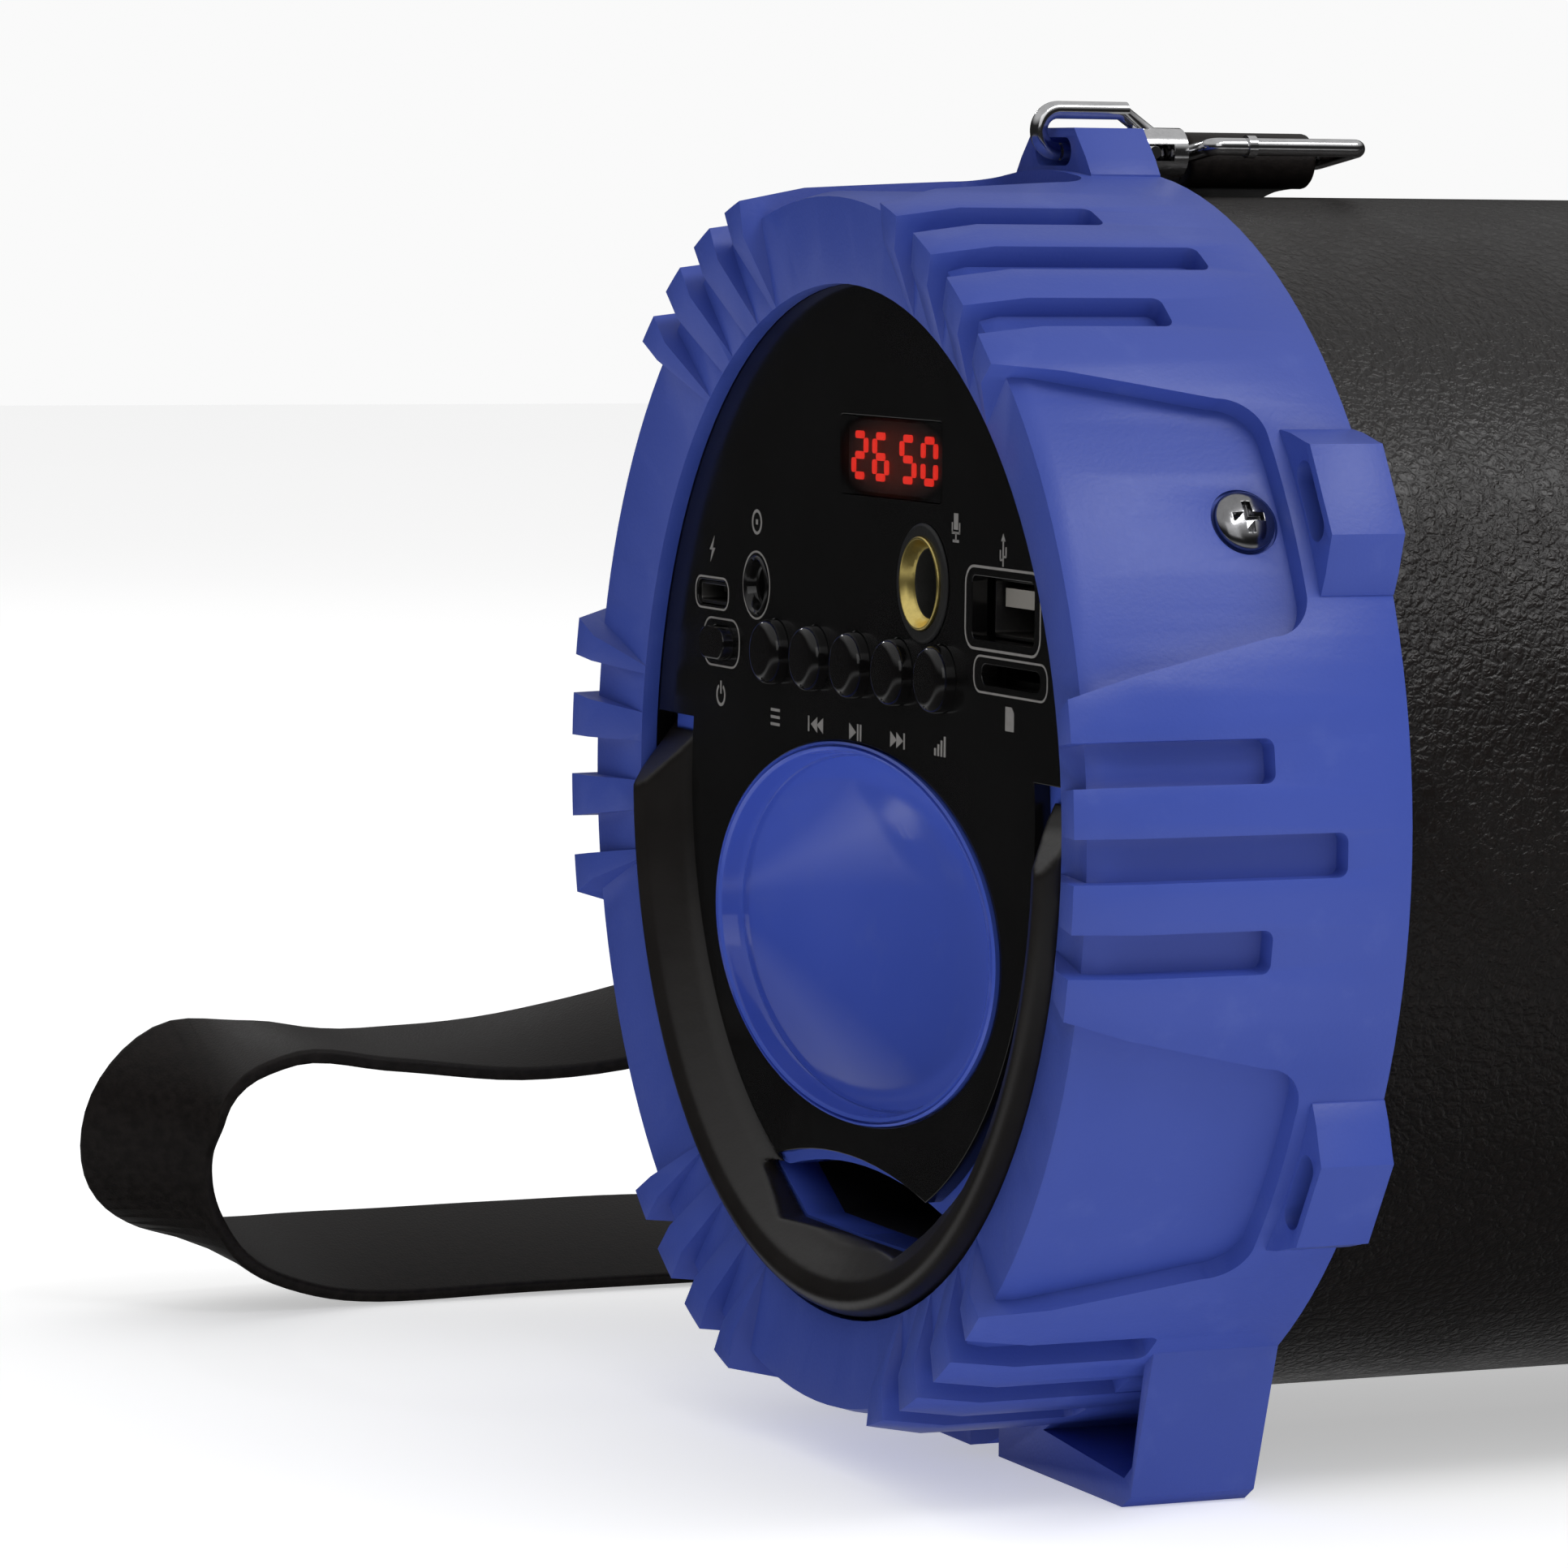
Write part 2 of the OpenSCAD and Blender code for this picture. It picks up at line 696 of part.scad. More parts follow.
module circuit_board() {
    color("darkgreen") at_front() difference() {
        slab(board_x, board_x + board_t) intersection() {
            circle(board_r);
            translate([-board_r, board_v]) square([2 * board_r, far]);
        }
        for (post = board_posts) on_panel(post[0], post[1]) rod(0.9, board_x - cut, board_x + 3);
        on_panel(usb_pos[0], usb_pos[1])
            slab(board_x - cut, board_x + board_t + cut) square(usb_size + [0.6, 0.6], center = true);
    }
}

module board_chips() {
    back = board_x + board_t;
    color([0.15, 0.15, 0.15]) at_front() {
        for (chip = [[-10, 30, 9, 7, 1.4], [6, 34, 7, 7, 1.2], [24, 30, 10, 6, 2.2], [-26, 24, 5, 5, 1.2]])
            on_panel(chip[0], chip[1], back + chip[4] / 2)
                cube([chip[4], chip[2], chip[3]], center = true);
        for (can = [[-18, 36], [12, 22], [16, 40]])
            on_panel(can[0], can[1]) rod(2.5, back, back + 6);
    }
}

module board_screws() {
    color("silver") at_front()
        for (post = board_posts) on_panel(post[0], post[1], board_x + board_t)
            rotate([0, 0, 90]) pan_screw(3.6, 1.4, 1.75, 4);
}

module button_switches() {
    places = concat([power_pos], [for (u = button_us) [u, button_v]]);
    color("dimgray") at_front()
        for (p = places) on_panel(p[0], p[1]) difference() {
            translate([switch_front_x, -2.8, -2.8]) cube([board_x - switch_front_x, 5.6, 5.6]);
            rod(stem_r + slide_gap, switch_front_x - cut, switch_front_x + switch_bore);
        }
}

// Round push button: a domed cap, a flange behind the panel and a stem into its switch
module round_button(i) {
    r = button_d / 2;
    back = panel_depth + panel_t + free_gap;
    color([0.05, 0.05, 0.05]) at_front() on_panel(button_us[i], button_v) {
        turned(concat(
            [[0, back + 0.1], [r, back + 0.1]],
            [for (a = [0:15:90]) [
                r - 1.1 + 1.1 * cos(a),
                panel_depth - button_proud + 1.1 - 1.1 * sin(a)
            ]],
            [[0, panel_depth - button_proud]]
        ));
        rod(r + 0.7, back, back + flange_t);
        rod(stem_r, back, stem_tip_x);
    }
}

module power_button() {
    back = panel_depth + panel_t + free_gap;
    color([0.05, 0.05, 0.05]) at_front() on_panel(power_pos[0], power_pos[1]) {
        slab(panel_depth - 1.2, back + 0.1) rounded(power_size, 1.5);
        slab(back, back + flange_t) rounded(power_size + [1.4, 1.4], 1.8);
        rod(stem_r, back, stem_tip_x);
    }
}

// The microphone socket's black body and flange, with a seat for its gold bush
module mic_jack() {
    color([0.1, 0.1, 0.1]) at_front() on_panel(mic_pos[0], mic_pos[1]) difference() {
        union() {
            turned([
                [0, panel_depth - 0.35], [5.35, panel_depth - 0.35], [5.6, panel_depth - 0.15],
                [5.6, panel_depth - 0.02], [0, panel_depth - 0.02]
            ]);
            rod(4.7, panel_depth - 0.1, board_x - 0.02);
            translate([cap_x + 0.4, -5.4, -5.4]) cube([board_x - cap_x - 0.42, 10.8, 10.8]);
        }
        rod(mic_bore_d / 2, 0, board_x - 1);
        rod(4.4, 0, panel_depth + 0.6);
    }
}

module mic_jack_nut() {
    inner = mic_bore_d / 2 + 0.05;
    color("gold") at_front() on_panel(mic_pos[0], mic_pos[1]) turned([
        [4.38, panel_depth + 0.58], [4.38, panel_depth - 0.55], [4.2, panel_depth - 0.65],
        [4.1, panel_depth - 0.6], [inner + 0.3, panel_depth + 0.4], [inner, panel_depth + 0.58]
    ]);
}

module aux_jack() {
    bore = aux_bore_d / 2;
    color([0.12, 0.12, 0.12]) at_front() on_panel(aux_pos[0], aux_pos[1]) difference() {
        union() {
            turned([
                [0, panel_depth - 0.1], [2.45, panel_depth - 0.1], [2.7, panel_depth - 0.3],
                [2.95, panel_depth - 0.1], [2.95, panel_depth - 0.02], [0, panel_depth - 0.02]
            ]);
            rod(2.6, panel_depth - 0.05, board_x - 0.02);
            translate([cap_x + 0.2, -3.2, -3.1]) cube([board_x - cap_x - 0.22, 6.4, 6.2]);
        }
        rod(bore, 0, board_x - 0.8);
        turned([
            [0, panel_depth - 1], [2.7, panel_depth - 0.5], [2.4, panel_depth],
            [bore + 0.3, panel_depth + 0.9], [bore - 0.1, panel_depth + 1], [0, panel_depth + 1]
        ]);
    }
}

module socket_shell(size, wall, x0, x1) {
    difference() {
        slab(x0, x1) rounded(size, wall + 0.3);
        slab(x0 - cut, x1 - 1) rounded(size - [2, 2] * wall, 0.3);
    }
}

module charging_port() {
    color("silver") at_front() on_panel(charge_pos[0], charge_pos[1]) {
        socket_shell(charge_size, 0.35, panel_depth + 0.3, board_x - 0.02);
        slab(panel_depth + 2, board_x - 0.9) translate([0, 0.3]) square([3.6, 0.6], center = true);
    }
}

module usb_port() {
    color("silver") at_front() on_panel(usb_pos[0], usb_pos[1])
        socket_shell(usb_size, 0.35, panel_depth + 2.2, board_x + 6);
}

module usb_tongue() {
    color("whitesmoke") at_front() on_panel(usb_pos[0], usb_pos[1])
        slab(panel_depth + 2.9, board_x + 4.98) translate([0, 0.9]) square([11, 1.7], center = true);
}

module card_slot() {
    color("silver") at_front() on_panel(card_pos[0], card_pos[1]) difference() {
        slab(cap_x - 0.3, board_x - 0.02) square([14, 2.3], center = true);
        slab(0, board_x - 1) square([11.2, 1.1], center = true);
    }
}

// ---- Power and wiring --------------------------------------------------------------------

cell_x = 88;
cell_v = -(bore_r - cell_d / 2 - 2.4);

module battery_cell() {
    color("deepskyblue") at_front() translate([0, 0, cell_v]) {
        rod(cell_d / 2, cell_x, cell_x + cell_len);
        rod(3.2, cell_x - 0.9, cell_x + 0.1);
    }
}

module battery_cradle() {
    color([0.15, 0.15, 0.15]) at_front() difference() {
        intersection() {
            translate([cell_x - 3, -cell_d / 2 - 1.5, -bore_r - 1])
                cube([cell_len + 6, cell_d + 3, bore_r + 1 + cell_v]);
            rod(bore_r - seat_gap, cell_x - 5, cell_x + cell_len + 5);
        }
        translate([0, 0, cell_v]) rod(cell_d / 2 + 0.02, cell_x - 1, cell_x + cell_len + 0.1);
    }
}

// A round lead swept along its points
module lead(points, r, sides) {
    rings = [for (i = [0:len(points) - 1]) let (
        t = tangent(points, i), w = across([0, 1, 0], t), n = cross(t, w)
    ) for (k = [0:sides - 1]) points[i] + r * (cos(360 * k / sides) * w + sin(360 * k / sides) * n)];
    last = len(points) - 1;
    polyhedron(rings, concat(
        [[for (k = [0:sides - 1]) k]],
        [for (i = [0:last - 1]) for (k = [0:sides - 1]) [
            i * sides + k, (i + 1) * sides + k,
            (i + 1) * sides + (k + 1) % sides, i * sides + (k + 1) % sides
        ]],
        [[for (k = [sides - 1:-1:0]) last * sides + k]]
    ));
}

module speaker_leads() {
    color("firebrick") at_front()
        for (shift = [-1.6, 1.6]) translate([0, shift, 0]) lead(speaker_lead, 0.7, 8);
}

module battery_leads() {
    color("firebrick") at_front()
        for (shift = [-1.6, 1.6]) translate([0, shift, 0]) lead(battery_lead, 0.7, 8);
}

// ---- Woofer ------------------------------------------------------------------------------

module rear_cap() {
    color([0.08, 0.08, 0.08]) at_rear() {
        difference() {
            cap_shell(lip_back_x + seat_gap, baffle_x, baffle_t);
            rod(drum_r + seat_gap, 0, baffle_x + baffle_t + cut);
            for (angle = woofer_screw_angles) around(angle)
                translate([0, -woofer_screw_r, 0]) rod(1.3 + slide_gap, 0, baffle_x + baffle_t + cut);
        }
        screw_bosses();
    }
}

woofer_screw_angles = [45, 135, 225, 315];

module woofer_basket() {
    lip_in = surround_r + 0.3;
    plate_r = magnet_d / 2 - 2;
    ledge_r = spider_r + 2.6;
    color([0.2, 0.2, 0.2]) at_rear() difference() {
        turned([
            [lip_in, basket_x], [woofer_r, basket_x], [woofer_r, baffle_x - 0.02],
            [drum_r, baffle_x - 0.02], [drum_r, baffle_x + 5], [plate_r, top_plate_x - 0.05],
            [gap_r + 3, top_plate_x - 0.05], [gap_r + 3, top_plate_x - 1.5], [plate_r - 2, top_plate_x - 1.5],
            [ledge_r + 1.6, spider_x + 1.2], [spider_r - 1, spider_x + 1.2], [spider_r - 1, spider_x + 0.3],
            [ledge_r + 0.8, spider_x + 0.3], [drum_r - 1.2, baffle_x + 4.6],
            [drum_r - 1.2, surround_x - 0.02], [lip_in, surround_x - 0.02]
        ]);
        for (angle = [0:60:300]) around(angle + 30)
            translate([baffle_x + 5.5, -woofer_r, -8]) cube([6, woofer_r - ledge_r - 3, 16]);
        for (angle = woofer_screw_angles) around(angle)
            translate([0, -woofer_screw_r, 0]) rod(1.6, 0, baffle_x);
    }
}

module woofer_screws() {
    color("silver") at_rear()
        for (angle = woofer_screw_angles) around(angle) translate([basket_x, -woofer_screw_r, 0])
            rotate([0, 0, -90]) pan_screw(4.8, 1.4, 2.6, 3);
}

module woofer_terminals() {
    color("tan") at_rear() around(terminal_angle)
        translate([top_plate_x + 1, -(magnet_d / 2 + 5), -6]) cube([1.6, 5, 12]);
}

module woofer_top_plate() {
    color("darkgray") at_rear()
        pipe(magnet_d / 2 - 2, gap_r, top_plate_x, magnet_x);
}

module woofer_magnet() {
    color([0.18, 0.18, 0.18]) at_rear()
        pipe(magnet_d / 2, gap_r + 6, magnet_x, yoke_x);
}

module woofer_yoke() {
    color("darkgray") at_rear() {
        rod(magnet_d / 2 - 2, yoke_x, yoke_x + yoke_t);
        rod(pole_r, top_plate_x, yoke_x + 0.5);
    }
}

module voice_coil() {
    color("peru") at_rear() {
        pipe(former_r + 0.2, former_r - 0.2, spider_x - 4, top_plate_x + 5.5);
        pipe(former_r + 0.6, former_r + 0.19, top_plate_x - 1, top_plate_x + 5);
    }
}

module woofer_cone() {
    neck = former_r + 0.25;
    color([0.1, 0.1, 0.12]) at_rear() turned([
        [neck, spider_x - 3.2], [neck, spider_x - 4.1], [cone_r - 2.2, cone_x],
        [cone_r, cone_x], [cone_r, cone_x + 0.7], [cone_r - 1.9, cone_x + 0.7]
    ]);
}

module woofer_dust_cap() {
    dome = 5;
    edge = former_r + 3.2;
    rise = spider_x - 6.4;
    color([0.05, 0.05, 0.06]) at_rear() turned(concat(
        [for (a = [0:10:90]) [edge * cos(a), rise - dome * sin(a)]],
        [for (a = [90:-10:0]) [(edge - 0.7) * cos(a), rise - (dome - 0.7) * sin(a)]]
    ));
}

module woofer_surround() {
    mid = (cone_r + surround_r) / 2;
    roll = (surround_r - cone_r) / 2 - 0.1;
    back = surround_x + surround_t;
    color([0.06, 0.06, 0.06]) at_rear() {
        turned(concat(
            [for (a = [180:-15:0]) [mid + roll * cos(a), back - roll * sin(a)]],
            [for (a = [0:15:180]) [mid + (roll - 0.6) * cos(a), back - (roll - 0.6) * sin(a)]]
        ));
        pipe(mid - roll + 0.3, cone_r - 2, surround_x, back);
        pipe(surround_r + 1.8, mid + roll - 0.3, surround_x, back);
    }
}

module woofer_spider() {
    color("khaki") at_rear() turned([
        [former_r + 0.25, spider_x - 0.3], [spider_r + 2.5, spider_x - 0.3],
        [spider_r + 2.5, spider_x + 0.28], [former_r + 0.25, spider_x + 0.28]
    ]);
}

// ---- Snap hooks and strap ----------------------------------------------------------------

module hook() {
    arm_end = ring_w + 0.4;
    slant = 35;
    color("silver") difference() {
        union() {
            translate([nose_x, 0, hook_z + nose_r]) rotate([90, 0, 0]) rotate([0, 0, 90])
                rotate_extrude(angle = 180) translate([nose_r, 0]) circle(wire_r);
            translate([0, 0, nose_z]) rod(wire_r, nose_x, arm_end);
            translate([arm_end - 0.7, 0, nose_z]) rotate([0, 90 + slant, 0])
                cylinder(r = wire_r - 0.05, h = 4.2);
            translate([0, 0, hook_z]) rod(barrel_r, barrel_x, barrel_end);
        }
        translate([0, 0, hook_z]) {
            rod(wire_r + slide_gap, barrel_x - cut, bolt_bore_end);
            rod(1.6, barrel_end - 1.1, barrel_end - 0.5);
            rod(wire_r + slide_gap, barrel_end - 0.6, barrel_end + cut);
        }
        translate([barrel_x - cut, -5, hook_z - knob_r - 0.2])
            cube([knob_x - barrel_x + cut + knob_r + bolt_travel + 0.2, 5, 2 * knob_r + 0.4]);
    }
}

module hook_bolt() {
    color("silver") translate([0, 0, hook_z]) {
        rod(wire_r, bolt_x, bolt_end);
        translate([knob_x, 0, 0]) rotate([90, 0, 0]) cylinder(r = knob_r, h = 4.2, $fn = small_fn);
    }
}

// Coil spring: a strip of its circle, 140 degrees long, turned four times
module hook_spring() {
    color("gray") translate([bolt_end + 0.02, 0, hook_z]) rotate([0, 90, 0])
        linear_extrude(bolt_bore_end - bolt_end - 0.04, twist = -1440, slices = 64, $fn = 12)
            polygon(concat(arc(0.76, -70, 70, 6), arc(0.5, 70, -70, 6)));
}

// Swivel neck and rectangular ring, its far bar pulled down by the strap
module strap_ring() {
    span = strap_ring_l - 2 * wire_r - 2 * eye_corner;
    collar_x = eye_corner + 2.6;
    color("silver") translate([eye_x, 0, hook_z]) {
        rod(1.5, barrel_end - 1.02 - eye_x, barrel_end - 0.58 - eye_x);
        rod(wire_r, barrel_end - 0.6 - eye_x, 0);
        rotate([-eye_tilt, 0, 0]) {
            translate([0, -eye_y, 0]) rod(wire_r + 0.25, collar_x, collar_x + 0.9);
            for (side = [-1, 1]) {
                translate([0, side * eye_y, 0]) rod(wire_r, eye_corner, eye_corner + span);
                for (end = [0, 1]) translate([end * (2 * eye_corner + span), 0, 0]) mirror([end, 0, 0])
                    translate([eye_corner, side * (eye_y - eye_corner), 0])
                        rotate([0, 0, side > 0 ? 90 : 180])
                            rotate_extrude(angle = 90) translate([eye_corner, 0]) circle(wire_r);
            }
            for (end = [0, 2 * eye_corner + span]) translate([end, eye_corner - eye_y, 0])
                rotate([-90, 0, 0]) cylinder(r = wire_r, h = 2 * (eye_y - eye_corner));
        }
    }
}

module strap_end() {
    color([0.1, 0.09, 0.08]) translate([fold_mid_x - fold_w / 2, fold_at[0], fold_at[1]])
        rotate([90, 0, 90]) linear_extrude(fold_w) difference() {
            union() {
                circle(fold_r + strap_t);
                rotate(fold_turn) translate([0, -strap_t]) square([norm(fold_step) - 0.05, 2 * strap_t]);
            }
            circle(fold_r);
        }
}

// A flat band swept along the route: four corners at each point
module strap() {
    points = [for (p = strap_route) p[0]];
    last = len(points) - 1;
    corners = [for (i = [0:last]) let (
        t = tangent(points, i), w = across(strap_route[i][1], t), n = cross(t, w)
    ) for (c = [[-1, -1], [1, -1], [1, 1], [-1, 1]])
        points[i] + c[0] * strap_w / 2 * w + c[1] * strap_t / 2 * n];
    color([0.1, 0.09, 0.08]) at_front() polyhedron(corners, concat(
        [[0, 1, 2, 3]],
        [for (i = [0:last - 1]) for (k = [0:3]) [
            i * 4 + k, (i + 1) * 4 + k, (i + 1) * 4 + (k + 1) % 4, i * 4 + (k + 1) % 4
        ]],
        [[last * 4 + 3, last * 4 + 2, last * 4 + 1, last * 4]]
    ));
}

module strap_rivet() {
    color("silver") translate([fold_mid_x, fold_at[0], fold_at[1]]) rotate([fold_turn, 0, 0])
        translate([0, norm(fold_step) * 0.62, strap_t])
            cylinder(r1 = 2.2, r2 = 1.6, h = 0.7, $fn = small_fn);
}

// ---- Drawing -----------------------------------------------------------------------------

tube();
leatherette_wrap();
at_front() bumper_ring();  // front_bumper_ring
at_rear() bumper_ring();  // rear_bumper_ring
at_front() ring_screws();  // front_ring_screws
at_rear() ring_screws();  // rear_ring_screws
front_cap();
control_panel();
lower_rim();
blue_dish_insert();
bass_port_duct();
display_window();
display_module();
display_digits();
circuit_board();
board_chips();
board_screws();
button_switches();
power_button();
round_button(0);  // mode_button
round_button(1);  // previous_button
round_button(2);  // play_button
round_button(3);  // next_button
round_button(4);  // mic_volume_button
mic_jack();
mic_jack_nut();
aux_jack();
charging_port();
usb_port();
usb_tongue();
card_slot();
battery_cell();
battery_cradle();
battery_leads();
speaker_leads();
rear_cap();
woofer_basket();
woofer_screws();
woofer_terminals();
woofer_top_plate();
woofer_magnet();
woofer_yoke();
voice_coil();
woofer_cone();
woofer_dust_cap();
woofer_surround();
woofer_spider();
at_front() hook();  // front_hook
at_front() hook_bolt();  // front_hook_bolt
at_front() hook_spring();  // front_hook_spring
at_front() strap_ring();  // front_strap_ring
at_rear() hook();  // rear_hook
at_rear() hook_bolt();  // rear_hook_bolt
at_rear() hook_spring();  // rear_hook_spring
at_rear() strap_ring();  // rear_strap_ring
at_front() strap_end();  // front_strap_end
at_rear() strap_end();  // rear_strap_end
strap();
union() {  // strap_rivets
    at_front() strap_rivet();
    at_rear() strap_rivet();
}
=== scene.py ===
# %% [markdown]
# # A portable tube loudspeaker
# A black leatherette tube sits between two moulded blue rubbery rings. One end holds a glossy
# control panel and an oval dish, the other a woofer, and a strap hangs from two snap hooks.
# The engineering model already has every piece at its true size, so this script only dresses
# it: the camera and the strap first, then the skins, and then the finishes.

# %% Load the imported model
import math

import bmesh
import bpy
from mathutils import Matrix, Vector


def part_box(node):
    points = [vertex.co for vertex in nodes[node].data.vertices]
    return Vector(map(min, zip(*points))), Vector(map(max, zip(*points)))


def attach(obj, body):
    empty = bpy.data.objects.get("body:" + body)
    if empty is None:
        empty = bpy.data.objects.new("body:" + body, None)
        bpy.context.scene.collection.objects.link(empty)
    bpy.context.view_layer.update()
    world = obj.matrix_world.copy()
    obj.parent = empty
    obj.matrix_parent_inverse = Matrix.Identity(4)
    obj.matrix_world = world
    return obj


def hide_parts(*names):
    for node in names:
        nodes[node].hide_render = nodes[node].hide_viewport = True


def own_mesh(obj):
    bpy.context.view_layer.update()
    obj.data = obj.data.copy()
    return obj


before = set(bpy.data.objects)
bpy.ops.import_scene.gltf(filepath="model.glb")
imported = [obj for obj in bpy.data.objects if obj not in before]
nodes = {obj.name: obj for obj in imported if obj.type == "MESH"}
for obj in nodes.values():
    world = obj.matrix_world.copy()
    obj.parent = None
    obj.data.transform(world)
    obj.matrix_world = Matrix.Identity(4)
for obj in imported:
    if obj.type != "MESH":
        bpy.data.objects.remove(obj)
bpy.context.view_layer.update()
MM = 0.001

# %% [markdown]
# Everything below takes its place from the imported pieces. A ring's box gives its front plane
# and the tube's axis, so no position is typed in twice.

# %% Where the ends and the axis are
front_low, front_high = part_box("front_bumper_ring")
rear_low, rear_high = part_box("rear_bumper_ring")
wrap_low, wrap_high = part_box("leatherette_wrap")
front_x = front_low.x
rear_x = rear_high.x
axis_z = (wrap_low.z + wrap_high.z) / 2
wrap_radius = (wrap_high.z - wrap_low.z) / 2
panel_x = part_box("control_panel")[0].x


def from_front(inwards, across, up):
    """A point given in millimetres from the front ring's face and the tube's axis."""
    return Vector((front_x + inwards * MM, across * MM, axis_z + up * MM))


print("axis", round(axis_z / MM, 1), "mm up, tube radius", round(wrap_radius / MM, 1), "mm")

# %% [markdown]
# ## Camera
# The view is from the panel's end, a little above the axis and turned about 23 degrees off the
# tube's side, with a long lens so that the ring looks flat and large.

# %% Camera
AZIMUTH = math.radians(-23.415)
ELEVATION = math.radians(5.021)
ROLL = math.radians(0.576)
LENS_MM = 154.3
DISTANCE = 636.95
SIDE_SHIFT = -1.682
RISE = 1.867

back = Vector((
    math.sin(AZIMUTH) * math.cos(ELEVATION),
    -math.cos(AZIMUTH) * math.cos(ELEVATION),
    math.sin(ELEVATION),
))
level_right = Vector((0, 0, 1)).cross(back).normalized()
level_up = back.cross(level_right)
right = math.cos(ROLL) * level_right + math.sin(ROLL) * level_up
up = back.cross(right)
eye = from_front(0, 0, 0) + MM * (DISTANCE * back + SIDE_SHIFT * right + RISE * up)

lens = bpy.data.cameras.new("camera")
lens.lens = LENS_MM
lens.sensor_width = 36
lens.clip_start = 0.05
camera = bpy.data.objects.new("camera", lens)
camera.matrix_world = Matrix.Translation(eye) @ Matrix((right, up, back)).transposed().to_4x4()
bpy.context.scene.collection.objects.link(camera)
bpy.context.scene.camera = camera
print("camera", [round(c, 3) for c in eye])

# %% [markdown]
# ## Small helpers for meshes
# A finished piece sits at the origin with its place in its mesh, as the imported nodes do.
# Modifiers are applied at once, so that what follows works on the real surface.

# %% Mesh helpers
def piece_from(name, bm):
    """Turns a bmesh into an object and links it."""
    mesh = bpy.data.meshes.new(name)
    bm.to_mesh(mesh)
    bm.free()
    made = bpy.data.objects.new(name, mesh)
    bpy.context.scene.collection.objects.link(made)
    return made


def apply_modifiers(piece):
    """Replaces a piece's mesh by what its modifiers make of it."""
    graph = bpy.context.evaluated_depsgraph_get()
    mesh = bpy.data.meshes.new_from_object(piece.evaluated_get(graph))
    piece.modifiers.clear()
    piece.data = mesh
    return piece


def smooth(piece, angle=35):
    """Shades a piece smooth, except over edges sharper than the angle."""
    piece.data.shade_smooth()
    piece.data.set_sharp_from_angle(angle=math.radians(angle))
    return piece


def merged_copy(node, name):
    """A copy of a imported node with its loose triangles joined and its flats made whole."""
    bm = bmesh.new()
    bm.from_mesh(nodes[node].data)
    bmesh.ops.remove_doubles(bm, verts=bm.verts, dist=1e-6)
    bmesh.ops.dissolve_limit(
        bm, angle_limit=math.radians(0.3), verts=bm.verts, edges=bm.edges,
        use_dissolve_boundaries=False,
    )
    return piece_from(name, bm)


def finish_piece(piece, body, replaced=()):
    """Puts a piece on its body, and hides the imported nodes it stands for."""
    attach(piece, body)
    if replaced:
        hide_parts(*replaced)
    return piece


print("helpers ready")

# %% [markdown]
# ## Strap
# The strap is one flat band that leaves the far side of the tube, falls to the floor beside
# the front ring, turns over on itself and comes back along the floor. The other end mirrors
# it. A flat band is modelled directly: a thin cross-section is extruded from one point of its
# route to the next, and a smooth curve through the route gives the points.

# %% The strap's route, in metres: a point inwards, to the far side and up, then its width's way
STRAP_WIDTH = 0.015
STRAP_THICKNESS = 0.0016
HALF_STRAP = [
    ((0.0483, 0.0156, 0.0585), (1, 0, 0)),
    ((0.0483, 0.023, 0.0563), (1, 0, 0)),
    ((0.0483, 0.033, 0.0512), (1, 0, 0)),
    ((0.0483, 0.043, 0.0432), (1, 0, 0)),
    ((0.0476, 0.0515, 0.0326), (1, 0, 0)),
    ((0.0468, 0.0575, 0.0205), (1, 0.1, 0)),
    ((0.045, 0.0615, 0.008), (1, 0.3, -0.1)),
    ((0.042, 0.0645, -0.004), (0.9, 0.6, -0.2)),
    ((0.037, 0.068, -0.015), (0.6, 0.9, -0.1)),
    ((0.029, 0.073, -0.024), (0.25, 1, 0.2)),
    ((0.019, 0.079, -0.03), (0, 1, 0.35)),
    ((0.005, 0.086, -0.0335), (-0.1, 1, 0.25)),
    ((-0.009, 0.091, -0.034), (-0.2, 1, 0.1)),
    ((-0.02, 0.094, -0.0336), (-0.45, 0.9, 0.05)),
    ((-0.028, 0.096, -0.036), (-0.68, 0.75, 0)),
    ((-0.0325, 0.098, -0.042), (-0.75, 0.65, 0)),
    ((-0.032, 0.1, -0.049), (-0.7, 0.7, 0.05)),
    ((-0.0265, 0.1025, -0.0548), (-0.5, 0.85, 0.15)),
    ((-0.018, 0.1045, -0.0576), (-0.25, 0.9, 0.35)),
    ((-0.006, 0.1065, -0.0589), (0, 1, 0.57)),
    ((0.012, 0.107, -0.0589), (0, 1, 0.57)),
    ((0.032, 0.107, -0.059), (0, 1, 0.55)),
    ((0.052, 0.107, -0.0599), (0, 1, 0.35)),
    ((0.074, 0.106, -0.0616), (0, 1, 0.08)),
    ((0.1, 0.105, -0.0622), (0, 1, 0)),
    ((0.125, 0.1045, -0.0622), (0, 1, 0)),
]
tube_run = rear_x - front_x
mirrored_half = [
    ((tube_run - p[0], p[1], p[2]), (-w[0], w[1], w[2])) for p, w in reversed(HALF_STRAP)
]
middle = [((tube_run / 2, 0.1045, -0.0622), (0, 1, 0))]
strap_route = [
    (Vector((front_x + p[0], p[1], axis_z + p[2])), Vector(w))
    for p, w in HALF_STRAP + middle + mirrored_half
]
print("strap route", len(strap_route), "points")

# %% [markdown]
# A Catmull-Rom curve passes through every point of the route, so the band bends evenly where
# straight pieces would show kinks. Its width follows the same curve, squared to the path.

# %% A smooth line through a route
def curve_at(p0, p1, p2, p3, t):
    """The Catmull-Rom curve between p1 and p2."""
    return 0.5 * (
        2 * p1 + (p2 - p0) * t + (2 * p0 - 5 * p1 + 4 * p2 - p3) * t * t
        + (3 * p1 - p0 - 3 * p2 + p3) * t * t * t
    )


